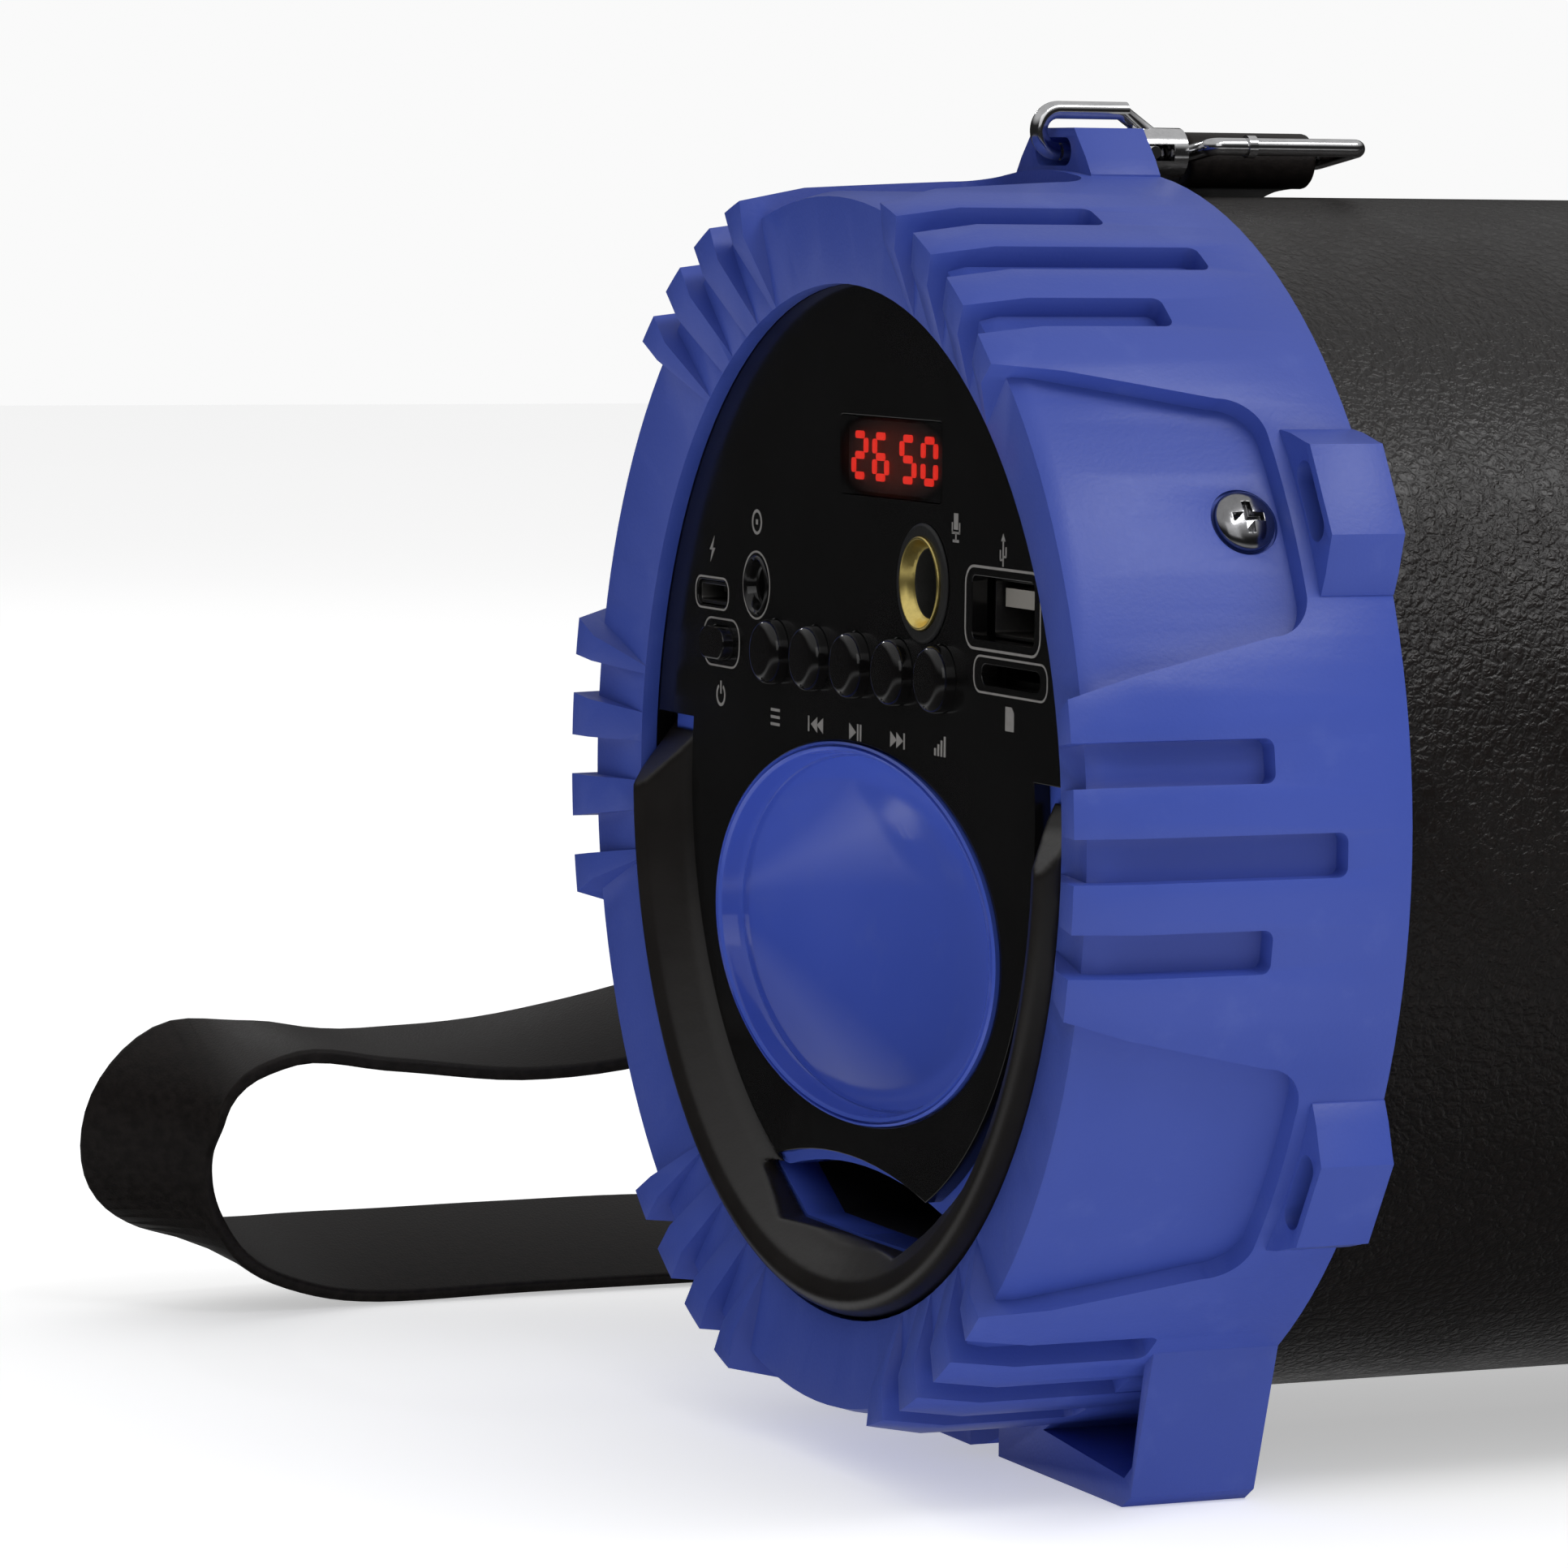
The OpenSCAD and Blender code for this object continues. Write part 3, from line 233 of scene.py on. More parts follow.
def smooth_route(route, steps):
    """(point, width's way) at even steps along a smooth curve through the route."""
    found = []
    last = len(route) - 1
    for i in range(last):
        a, b, c, d = (route[min(max(k, 0), last)] for k in (i - 1, i, i + 1, i + 2))
        for s in range(steps):
            t = s / steps
            found.append((curve_at(a[0], b[0], c[0], d[0], t), curve_at(a[1], b[1], c[1], d[1], t)))
    return found + [route[-1]]


def place_matrix(point, way, along):
    """Axes for a band: X across its width, Y out of its face, Z along it."""
    along = along.normalized()
    across = (way - way.dot(along) * along).normalized()
    out = along.cross(across)
    return Matrix.Translation(point) @ Matrix((across, out, along)).transposed().to_4x4()


strap_line = smooth_route(strap_route, 6)
strap_length = sum(
    (strap_line[i + 1][0] - strap_line[i][0]).length for i in range(len(strap_line) - 1)
)
print("strap length", round(strap_length, 4), "m")

# %% Extruding a band along its route
def band(name, line, width, thickness):
    """A flat band with rounded edges that follows (point, width's way) pairs."""
    places = []
    for i, (point, way) in enumerate(line):
        ahead = line[min(i + 1, len(line) - 1)][0] - line[max(i - 1, 0)][0]
        places.append(place_matrix(point, way, ahead))
    bm = bmesh.new()
    bmesh.ops.create_grid(bm, x_segments=1, y_segments=1, size=0.5)
    bmesh.ops.scale(bm, vec=(width, thickness, 1), verts=bm.verts)
    bmesh.ops.bevel(
        bm, geom=bm.verts[:], offset=thickness * 0.32, affect="VERTICES", segments=3,
        profile=0.5, material=-1,
    )
    bmesh.ops.transform(bm, matrix=places[0], verts=bm.verts)
    end = bm.faces[:]
    start_cap = bmesh.ops.duplicate(bm, geom=end)
    bmesh.ops.reverse_faces(bm, faces=[g for g in start_cap["geom"] if isinstance(g, bmesh.types.BMFace)])
    for before, after in zip(places, places[1:]):
        made = bmesh.ops.extrude_face_region(bm, geom=end)["geom"]
        bmesh.ops.delete(bm, geom=end, context="FACES_ONLY")
        end = [g for g in made if isinstance(g, bmesh.types.BMFace)]
        moved = [g for g in made if isinstance(g, bmesh.types.BMVert)]
        bmesh.ops.transform(bm, matrix=after @ before.inverted(), verts=moved)
    bmesh.ops.remove_doubles(bm, verts=bm.verts, dist=1e-6)
    bmesh.ops.recalc_face_normals(bm, faces=bm.faces)
    made = piece_from(name, bm)
    return smooth(made, 50)


strap = band("carrying_strap", strap_line, STRAP_WIDTH, STRAP_THICKNESS)
finish_piece(strap, "cabinet", ["strap"])
print("strap", len(strap.data.polygons), "faces")

# %% [markdown]
# Each end of the strap goes round the bar of a rectangular ring and back on itself, where a
# rivet holds both layers. The same band follows a line that wraps the bar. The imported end's
# box gives the bar: it is wrapped by a roll whose radius is known.

# %% Folded strap ends
ROLL_RADIUS = 2.7 * MM


def folded_end(name, end):
    """The strap's end round the far bar of its ring: along the top, round and back below."""
    low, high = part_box(end)
    mid_x = (low.x + high.x) / 2
    bar = Vector((mid_x, low.y + ROLL_RADIUS, high.z - ROLL_RADIUS))
    tail = Vector((mid_x, strap_route[0][0].y, strap_route[0][0].z))
    down = (tail - bar).normalized()
    over = Vector((1, 0, 0)).cross(down).normalized()
    turn = ROLL_RADIUS - STRAP_THICKNESS / 2
    half = STRAP_THICKNESS / 2 + 0.02 * MM
    width_way = Vector((1, 0, 0))
    lift = over * half
    join = tail * 0.55 + bar * 0.45
    steps = [math.radians(a) for a in range(60, 301, 20)]
    wrap = [bar + turn * (math.cos(a) * down + math.sin(a) * over) for a in steps]
    line = [(p, width_way) for p in [tail + lift, join + lift] + wrap + [join - lift, tail - lift]]
    made = band(name, smooth_route(line, 4), high.x - low.x, STRAP_THICKNESS)
    return finish_piece(made, "cabinet", [end])


front_end = folded_end("front_strap_fold", "front_strap_end")
rear_end = folded_end("rear_strap_fold", "rear_strap_end")
print("folds", len(front_end.data.polygons) + len(rear_end.data.polygons), "faces")

# %% [markdown]
# ## Writing shaders as sums
# A finish is a small sum: a base colour, a little grain, a little wear. The class below wraps
# a socket so that Python's own operators add the Math nodes, and one method makes any other
# node.

# %% Shader helper
class Value:
    """A node's output that can be added, multiplied and so on."""

    def __init__(self, finish, socket):
        self.finish = finish
        self.socket = socket

    def sum_with(self, operation, other, swap=False):
        pair = [other, self] if swap else [self, other]
        return self.finish.node("ShaderNodeMath", pair, operation=operation)

    def __add__(self, other):
        return self.sum_with("ADD", other)

    __radd__ = __add__

    def __sub__(self, other):
        return self.sum_with("SUBTRACT", other)

    def __rsub__(self, other):
        return self.sum_with("SUBTRACT", other, swap=True)

    def __mul__(self, other):
        return self.sum_with("MULTIPLY", other)

    __rmul__ = __mul__

    def __truediv__(self, other):
        return self.sum_with("DIVIDE", other)

    def __pow__(self, other):
        return self.sum_with("POWER", other)

    def ramp(self, low, high):
        """0 at low, 1 at high, smooth between them."""
        return self.finish.node(
            "ShaderNodeMapRange", {"Value": self, "From Min": low, "From Max": high},
            interpolation_type="SMOOTHSTEP",
        )


class Finish:
    """A material whose nodes are made by name."""

    def __init__(self, name, **sockets):
        self.material = bpy.data.materials.new(name)
        self.material.use_nodes = True
        self.tree = self.material.node_tree
        self.tree.nodes.clear()
        self.shader = self.tree.nodes.new("ShaderNodeBsdfPrincipled")
        output = self.tree.nodes.new("ShaderNodeOutputMaterial")
        self.tree.links.new(self.shader.outputs[0], output.inputs[0])
        place = self.tree.nodes.new("ShaderNodeTexCoord")
        self.object_place = Value(self, place.outputs["Object"])
        for socket, value in sockets.items():
            self.shader.inputs[socket.replace("_", " ")].default_value = value

    def fill(self, socket, value):
        if isinstance(value, Value):
            self.tree.links.new(value.socket, socket)
        elif socket.type == "RGBA" and len(value) == 3:
            socket.default_value = (*value, 1)
        else:
            socket.default_value = value

    def node(self, kind, inputs=(), output=0, **settings):
        """Adds a node: its settings first, then the values or links of its sockets."""
        made = self.tree.nodes.new(kind)
        for key, value in settings.items():
            setattr(made, key, value)
        named = inputs.items() if isinstance(inputs, dict) else enumerate(inputs)
        for key, value in named:
            self.fill(made.inputs[key], value)
        return Value(self, made.outputs[output])

    def noise(self, scale, detail=2.0, rough=0.5, place=None):
        return self.node("ShaderNodeTexNoise", {
            "Vector": place or self.object_place, "Scale": scale, "Detail": detail, "Roughness": rough,
        })

    def cells(self, scale, feature="F1", output="Distance", place=None, randomness=1.0):
        return self.node("ShaderNodeTexVoronoi", {
            "Vector": place or self.object_place, "Scale": scale, "Randomness": randomness,
        }, output=output, feature=feature)

    def mix(self, factor, first, second):
        """Blends two colours."""
        made = self.tree.nodes.new("ShaderNodeMix")
        made.data_type = "RGBA"
        self.fill(made.inputs["Factor"], factor)
        self.fill(made.inputs[6], first)
        self.fill(made.inputs[7], second)
        return Value(self, made.outputs[2])

    def pushed(self, amount, scale):
        """The object's coordinates, pushed about by noise so that cells lose their straight sides."""
        wobble = self.node("ShaderNodeTexNoise", {
            "Vector": self.object_place, "Scale": scale, "Detail": 2.0,
        }, output="Color")
        centred = self.node("ShaderNodeVectorMath", [wobble, (0.5, 0.5, 0.5)], operation="SUBTRACT")
        scaled = self.node("ShaderNodeVectorMath", {0: centred, "Scale": amount}, operation="SCALE")
        return self.node("ShaderNodeVectorMath", [self.object_place, scaled], operation="ADD")

    def colour(self, value):
        self.fill(self.shader.inputs["Base Color"], value)
        return self

    def roughness(self, value):
        self.fill(self.shader.inputs["Roughness"], value)
        return self

    def bump(self, height, depth, strength=1.0):
        """Raises the surface by height, which runs from 0 to 1, times depth in metres."""
        made = self.node("ShaderNodeBump", {
            "Height": height, "Distance": depth, "Strength": strength,
        })
        self.fill(self.shader.inputs["Normal"], made)
        return self


def paint(finish, *pieces):
    """Gives pieces a finish, and takes away what they had."""
    for piece in pieces:
        piece.data.materials.clear()
        piece.data.materials.append(finish.material)
    return finish


print("shader helper ready")

# %% [markdown]
# ## Bumper rings
# The rings are moulded in one piece: raised blocks with grooves between them, sunken pads,
# lugs for the strap and two feet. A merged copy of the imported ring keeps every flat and
# curve, and a narrow bevel rounds the sharp edges as a mould does. It must stay narrower than
# the smallest step, or neighbouring bevels would cross.

# %% Copies with rounded edges
def crisp(node, name, width, angle=30, body="cabinet", shade=20):
    """A merged copy of a node with a fine bevel along its sharp edges."""
    made = merged_copy(node, name)
    bevel = made.modifiers.new("bevel", "BEVEL")
    bevel.width = width
    bevel.segments = 2
    bevel.limit_method = "ANGLE"
    bevel.angle_limit = math.radians(angle)
    apply_modifiers(made)
    smooth(made, shade)
    return finish_piece(made, body, [node])


front_ring = crisp("front_bumper_ring", "front_ring_skin", 0.35 * MM, 24, shade=35)
rear_ring = crisp("rear_bumper_ring", "rear_ring_skin", 0.35 * MM, 24, shade=35)
print("rings", len(front_ring.data.polygons), len(rear_ring.data.polygons), "faces")

# %% [markdown]
# ## Panel pieces
# Smaller moulded and turned pieces get the same treatment with a hairline bevel, because no
# real edge is razor sharp and the bevel is what catches the light. The lower rim is a soft
# moulding, so its copy is remeshed finely and smoothed, then thinned where it is flat.

# %% Panel pieces
def softened(node, name, grain, passes, most):
    """A remeshed copy of a node, with its edges rounded, under a number of triangles."""
    made = bpy.data.objects.new(name, nodes[node].data.copy())
    bpy.context.scene.collection.objects.link(made)
    made.data.materials.clear()
    remesh = made.modifiers.new("remesh", "REMESH")
    remesh.mode = "VOXEL"
    remesh.voxel_size = grain
    rounding = made.modifiers.new("rounding", "SMOOTH")
    rounding.factor = 0.5
    rounding.iterations = passes
    apply_modifiers(made)
    thin = made.modifiers.new("thin", "DECIMATE")
    thin.ratio = min(1.0, most / (2 * len(made.data.polygons)))
    apply_modifiers(made)
    made.data.shade_smooth()
    return made


panel = crisp("control_panel", "panel_face", 0.12 * MM)
rim = softened("lower_rim", "lower_rim_skin", 0.3 * MM, 4, 120000)
finish_piece(rim, "cabinet", ["lower_rim"])
dish = crisp("blue_dish_insert", "dish_insert", 0.08 * MM, 50)
nut = crisp("mic_jack_nut", "mic_nut", 0.08 * MM)
mic = crisp("mic_jack", "mic_socket", 0.1 * MM)
aux = crisp("aux_jack", "aux_socket", 0.15 * MM)
usb = crisp("usb_port", "usb_shell", 0.06 * MM)
charge = crisp("charging_port", "charge_shell", 0.06 * MM)
caps = {}
for key in ("power", "mode", "previous", "play", "next", "mic_volume"):
    caps[key] = crisp(
        key + "_button", key + "_cap", 0.18 * MM, body=key + "_key",
    )
print("panel pieces", len(panel.data.polygons), len(rim.data.polygons), "faces")

# %% [markdown]
# ## Printed marks
# The real panel carries words beside its sockets. They are left out, and plain pictograms
# take their places: triangles for the tracks, a bolt for charging and so on. Each mark is a
# thin film of ink, a few hundredths of a millimetre proud of the gloss.

# %% Ink shapes
INK = 0.03 * MM
ink_x = panel_x - 0.004 * MM


def ink(name, shapes, across, up):
    """A mark made of flat outlines in millimetres, centred at a place on the panel."""
    bm = bmesh.new()
    for outline in shapes:
        corners = [
            bm.verts.new(from_front(0, across - u, up + v)) for u, v in outline
        ]
        bm.faces.new(corners)
    for v in bm.verts:
        v.co.x = ink_x
    raised = bmesh.ops.extrude_face_region(bm, geom=bm.faces[:])["geom"]
    front = [g for g in raised if isinstance(g, bmesh.types.BMVert)]
    bmesh.ops.translate(bm, vec=(-INK, 0, 0), verts=front)
    bmesh.ops.recalc_face_normals(bm, faces=bm.faces)
    return finish_piece(piece_from(name, bm), "cabinet")


def triangle(u, size):
    return [(u - size / 2, -size / 2), (u + size / 2, 0), (u - size / 2, size / 2)]


def bar(u, v, width, height):
    return [
        (u - width / 2, v - height / 2), (u + width / 2, v - height / 2),
        (u + width / 2, v + height / 2), (u - width / 2, v + height / 2),
    ]


def flipped(outline):
    return [(-u, v) for u, v in reversed(outline)]


def ring_shapes(inner, outer, parts=16, gap=0):
    """A ring as short four-cornered pieces, with an opening at its top if gap is given."""
    start, end = 90 + gap, 450 - gap
    angles = [math.radians(start + (end - start) * i / parts) for i in range(parts + 1)]
    return [
        [(inner * math.cos(a), inner * math.sin(a)), (outer * math.cos(a), outer * math.sin(a)),
         (outer * math.cos(b), outer * math.sin(b)), (inner * math.cos(b), inner * math.sin(b))]
        for a, b in zip(angles, angles[1:])
    ]


def middle_of(node):
    """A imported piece's centre across the panel and up from the axis, in millimetres."""
    low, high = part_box(node)
    return (low.y + high.y) / 2 / MM, ((low.z + high.z) / 2 - axis_z) / MM


BELOW = 6.4
ABOVE = 6.2
marks = []
y, z = middle_of("power_button")
marks.append(ink("mark_power", ring_shapes(0.85, 1.15, gap=32) + [bar(0, 0.75, 0.3, 1.3)], y, z - 5.2))
y, z = middle_of("mode_button")
marks.append(ink("mark_mode", [bar(0, v, 2.2, 0.28) for v in (-0.7, 0, 0.7)], y, z - BELOW))
y, z = middle_of("previous_button")
marks.append(ink("mark_previous", [
    flipped(triangle(0.2, 1.5)), flipped(triangle(-1.2, 1.5)), bar(-1.5, 0, 0.3, 1.5),
], y, z - BELOW))
y, z = middle_of("play_button")
marks.append(ink("mark_play", [triangle(-0.7, 1.6), bar(0.5, 0, 0.35, 1.6), bar(1.15, 0, 0.35, 1.6)], y, z - BELOW))
y, z = middle_of("next_button")
marks.append(ink("mark_next", [triangle(-0.9, 1.5), triangle(0.5, 1.5), bar(1.5, 0, 0.3, 1.5)], y, z - BELOW))
y, z = middle_of("mic_volume_button")
marks.append(ink("mark_mic_volume", [
    bar(-1.2, -0.4, 0.4, 0.7), bar(-0.5, -0.2, 0.4, 1.1), bar(0.2, 0, 0.4, 1.5), bar(0.9, 0.2, 0.4, 1.9),
], y, z - BELOW))
y, z = middle_of("charging_port")
marks.append(ink("mark_charging", [
    [(0.5, 1.3), (-0.7, -0.1), (0.0, -0.1)], [(0.7, 0.1), (-0.5, -1.3), (0.0, 0.1)],
], y, z + 4.4))
y, z = middle_of("aux_jack")
marks.append(ink("mark_aux", ring_shapes(0.95, 1.25) + [bar(0, 0, 0.5, 0.5)], y, z + ABOVE))
y, z = middle_of("mic_jack")
marks.append(ink("mark_mic", [
    bar(0, 0.5, 0.9, 1.5), bar(0, -0.9, 0.25, 0.8), bar(0, -1.3, 1.3, 0.25),
    bar(-0.8, -0.1, 0.22, 1.0), bar(0.8, -0.1, 0.22, 1.0), bar(0, -0.55, 1.8, 0.22),
], y - 7.0, z + 5.6))
y, z = middle_of("usb_port")
marks.append(ink("mark_usb", [
    bar(0, 0, 0.25, 2.4), [(-0.45, 1.1), (0.45, 1.1), (0, 1.8)],
    bar(-0.6, -0.15, 0.22, 0.9), bar(-0.35, -0.6, 0.6, 0.2), bar(0.6, 0.15, 0.22, 0.9), bar(0.35, -0.3, 0.6, 0.2),
], y, z + 5.2))
y, z = middle_of("card_slot")
marks.append(ink("mark_card", [
    [(-0.9, -1.1), (0.9, -1.1), (0.9, 0.6), (0.4, 1.1), (-0.9, 1.1)],
], y, z - 3.7))
print("printed marks", len(marks))

# %% [markdown]
# Fine frames are printed round the sockets too, as thin outlines that pick out each opening.

# %% Printed frames round the sockets
def frame_shapes(width, height, radius, line, parts=5):
    """A rounded rectangle's outline as short four-cornered pieces."""
    def edge(grow):
        found = []
        for k, (sx, sy) in enumerate(((1, 1), (-1, 1), (-1, -1), (1, -1))):
            for i in range(parts + 1):
                a = math.radians(90 * k + 90 * i / parts)
                found.append((
                    sx * (width / 2 - radius) + (radius + grow) * math.cos(a),
                    sy * (height / 2 - radius) + (radius + grow) * math.sin(a),
                ))
        return found
    inner, outer = edge(-line / 2), edge(line / 2)
    count = len(inner)
    return [[inner[i], outer[i], outer[(i + 1) % count], inner[(i + 1) % count]] for i in range(count)]


y, z = middle_of("usb_port")
marks.append(ink("frame_usb", frame_shapes(15.9, 7.5, 1.7, 0.24), y, z))
y, z = middle_of("charging_port")
marks.append(ink("frame_charging", frame_shapes(8.4, 3.1, 1.3, 0.2), y, z))
y, z = middle_of("card_slot")
marks.append(ink("frame_card", frame_shapes(15.5, 3.3, 1.3, 0.2), y, z))
y, z = middle_of("power_button")
marks.append(ink("frame_power", frame_shapes(9.1, 4.7, 1.9, 0.2), y, z))
y, z = middle_of("aux_jack")
marks.append(ink("frame_aux", ring_shapes(3.2, 3.4, 28), y, z))
print("printed frames, marks now", len(marks))

# %% [markdown]
# ## Screws, hooks and rings
# These are plated steel. Their bevels are finer still, since bright metal shows an edge as a
# thin white line.

# %% Metal pieces
front_screws = crisp("front_ring_screws", "front_screw_set", 0.1 * MM, 25)
rear_screws = crisp("rear_ring_screws", "rear_screw_set", 0.1 * MM, 25)
hooks = []
for end in ("front", "rear"):
    hooks.append(crisp(end + "_hook", end + "_hook_wire", 0.1 * MM, 35, end + "_snap_hook"))
    hooks.append(crisp(end + "_hook_bolt", end + "_bolt_rod", 0.1 * MM, 35, end + "_snap_bolt"))
    hooks.append(crisp(end + "_strap_ring", end + "_ring_wire", 0.05 * MM, 35, "cabinet"))
print("metal pieces", 2 + len(hooks))

# %% [markdown]
# ## Leatherette finish
# The tube is wrapped in black leatherette with a pebbled grain: rounded bumps one to two
# millimetres across, parted by fine creases. Voronoi cells make the creases, noise pushes
# them about so that no side is straight, and a finer set of cells breaks up each pebble.

# %% Leatherette
leatherette = Finish("leatherette", Roughness=0.42, Specular_IOR_Level=0.34)
wandering = leatherette.pushed(0.0012, 520)
creases = leatherette.cells(780, "DISTANCE_TO_EDGE", place=wandering).ramp(0.0, 0.3)
fine_creases = leatherette.cells(2100, "DISTANCE_TO_EDGE", place=wandering).ramp(0.0, 0.35)
patches = leatherette.noise(70, 3).ramp(0.35, 0.65)
dust = leatherette.noise(5200, 2)
grain = creases * 0.6 + fine_creases * 0.28 + dust * 0.12
leatherette.bump(grain * (patches * 0.4 + 0.6), 0.14 * MM, 0.9)
leatherette.roughness(0.38 - creases * 0.06 + patches * 0.08)
worn = leatherette.mix(patches * 0.5, (0.0068, 0.0048, 0.0042), (0.0098, 0.0070, 0.0060))
# The creases are painted darker than the pebbles between them: painted shade in the creases.
leatherette.colour(leatherette.mix(creases * 0.5 + 0.5, (0.0040, 0.0030, 0.0026), worn))
paint(leatherette, nodes["leatherette_wrap"])
print("leatherette nodes", len(leatherette.tree.nodes))

# %% [markdown]
# ## Blue moulding finish
# A satin plastic with a faint orange-peel skin. Slow noise shifts the colour so that no wide
# face is flat, and a second, finer noise leaves faint scuffs scattered over it.

# %% Blue moulding
def blue_finish(name, rough, skin, specular, lift=1.0):
    """The blue of the mouldings, satin or glossy; lift paints it lighter, as painted light."""
    blue = Finish(name, Roughness=rough, Specular_IOR_Level=specular)
    drift = blue.noise(35, 3).ramp(0.3, 0.7)
    speck = blue.noise(2600, 2)
    shades = [(0.041, 0.074, 0.365), (0.047, 0.082, 0.39)]
    body = blue.mix(drift, *(tuple(c * lift for c in shade) for shade in shades))
    scuffs = blue.noise(180, 4, 0.6).ramp(0.55, 0.75)
    blue.colour(blue.mix(scuffs * 0.12, body, (0.12, 0.17, 0.5)))
    blue.roughness(speck * 0.08 + drift * 0.05 + (rough - 0.06))
    blue.bump(speck * 0.6 + blue.noise(700, 2) * 0.4, skin)
    return blue


blue_satin = blue_finish("blue_satin", 0.4, 0.03 * MM, 0.35)
# The dish's blue is painted 1.35 times lighter: painted light standing in for the light its deep bowl doesn't catch.
blue_gloss = blue_finish("blue_gloss", 0.12, 0.003 * MM, 0.42, 1.35)
paint(blue_satin, front_ring, rear_ring)
paint(blue_gloss, dish)
print("blue finishes ready")

# %% [markdown]
# ## Black finishes
# The panel is polished, the lower rim has a soft satin skin, and the hidden mouldings are
# plain. The same helper makes them with their own roughness and grain.

# %% Black plastics
def black_finish(name, shade, rough, skin, specular=0.5):
    black = Finish(name, Roughness=rough, Specular_IOR_Level=specular)
    smear = black.noise(90, 4, 0.6).ramp(0.35, 0.75)
    black.colour(black.mix(smear, shade, tuple(c * 1.35 for c in shade)))
    black.roughness(smear * 0.06 + rough)
    black.bump(black.noise(2200, 2), skin)
    return black


panel_gloss = black_finish("panel_gloss", (0.0042, 0.0040, 0.0040), 0.14, 0.0006 * MM)
rim_satin = black_finish("rim_satin", (0.0105, 0.0085, 0.0075), 0.34, 0.01 * MM)
plain_black = black_finish("plain_black", (0.012, 0.012, 0.012), 0.5, 0.03 * MM)
button_black = black_finish("button_black", (0.0045, 0.0042, 0.0042), 0.1, 0.0006 * MM)
paint(panel_gloss, panel)
paint(rim_satin, rim)
paint(button_black, aux, *caps.values())
paint(
    plain_black, mic, nodes["front_cap"], nodes["rear_cap"], nodes["bass_port_duct"],
    nodes["battery_cradle"], nodes["display_module"], nodes["board_chips"],
    nodes["button_switches"], nodes["woofer_basket"],
)
print("black finishes ready")

# %% [markdown]
# ## Metals
# Chrome on the hooks and screws, plain steel on the sockets and springs, and gold plate on
# the microphone socket's nut. Fine noise in the roughness keeps them from looking like glass.

# %% Metals
def metal_finish(name, shade, rough, scratch=0.004 * MM):
    metal = Finish(name, Metallic=1.0, Roughness=rough)
    wipe = metal.noise(900, 4, 0.7)
    metal.colour(metal.mix(wipe.ramp(0.3, 0.8), shade, tuple(c * 0.8 for c in shade)))
    metal.roughness(wipe * 0.12 + (rough - 0.04))
    metal.bump(wipe, scratch)
    return metal


chrome = metal_finish("chrome", (0.66, 0.66, 0.67), 0.12)
# The screws get a darker copy of the chrome: painted shade standing in for the dark reflections they show.
shaded_chrome = metal_finish("shaded_chrome", (0.3, 0.3, 0.31), 0.16)
steel = metal_finish("steel", (0.42, 0.41, 0.4), 0.3)
gold = metal_finish("gold", (1.0, 0.8, 0.27), 0.32)
socket_steel = metal_finish("socket_steel", (0.16, 0.155, 0.15), 0.35)
copper = metal_finish("copper", (0.55, 0.22, 0.09), 0.35)
ferrite = metal_finish("ferrite", (0.06, 0.06, 0.065), 0.6, 0.02 * MM)
paint(shaded_chrome, front_screws, rear_screws)
paint(chrome, *hooks, nodes["strap_rivets"])
paint(gold, nut)
paint(socket_steel, usb, charge, nodes["card_slot"])
paint(
    steel, nodes["board_screws"], nodes["woofer_screws"],
    nodes["woofer_top_plate"], nodes["woofer_yoke"], nodes["front_hook_spring"],
    nodes["rear_hook_spring"],
)
paint(copper, nodes["voice_coil"])
paint(ferrite, nodes["woofer_magnet"])
print("metals ready")

# %% [markdown]
# ## Hook springs
# A spring can't follow its bolt as a stiff piece would: its inner end stays put and it gets
# shorter by as much as the bolt slides back. Here each spring only gets a mesh of its own and
# its length is printed; the share left after the bolt's travel is worked out but not applied.

# %% Hook springs
BOLT_TRAVEL = 2.2 * MM
for end in ("front", "rear"):
    spring = nodes[end + "_hook_spring"]
    reach = sorted((v.co.x for v in spring.data.vertices), key=abs)
    length = abs(reach[-1] - reach[0])
    1 - BOLT_TRAVEL / length
    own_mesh(spring)
    print(end, "spring", round(length / MM, 2), "mm long")

# %% [markdown]
# ## Strap finish
# A smooth coated webbing, nearly black, with faint streaks along it and a fine tooth.

# %% Strap
strap_black = Finish("strap_black", Roughness=0.5, Specular_IOR_Level=0.22)
streaks = strap_black.noise(900, 3, 0.6)
tooth = strap_black.cells(3600)
strap_black.colour(strap_black.mix(streaks.ramp(0.3, 0.7), (0.0062, 0.0046, 0.0041), (0.0115, 0.0086, 0.0077)))
strap_black.roughness(streaks * 0.14 + 0.42)
strap_black.bump(tooth * 0.6 + streaks * 0.4, 0.03 * MM)
paint(strap_black, strap, front_end, rear_end)
print("strap finish ready")

# %% [markdown]
# ## Display
# Four lit digits stand just behind a dark window. The window glows a little round them, as
# the light spreads in it, and the glow fades with distance from the middle of the digits.

# %% Lit digits and window
digits_low, digits_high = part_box("display_digits")
window_low, window_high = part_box("display_window")
lit = Finish("lit_red", Roughness=0.4)
flicker = lit.noise(1500, 2)
lit.fill(lit.shader.inputs["Emission Color"], lit.mix(flicker, (0.78, 0.022, 0.014), (0.9, 0.035, 0.02)))
lit.shader.inputs["Emission Strength"].default_value = 1.1
lit.colour(lit.mix(flicker, (0.25, 0.01, 0.01), (0.3, 0.012, 0.01)))
paint(lit, nodes["display_digits"])

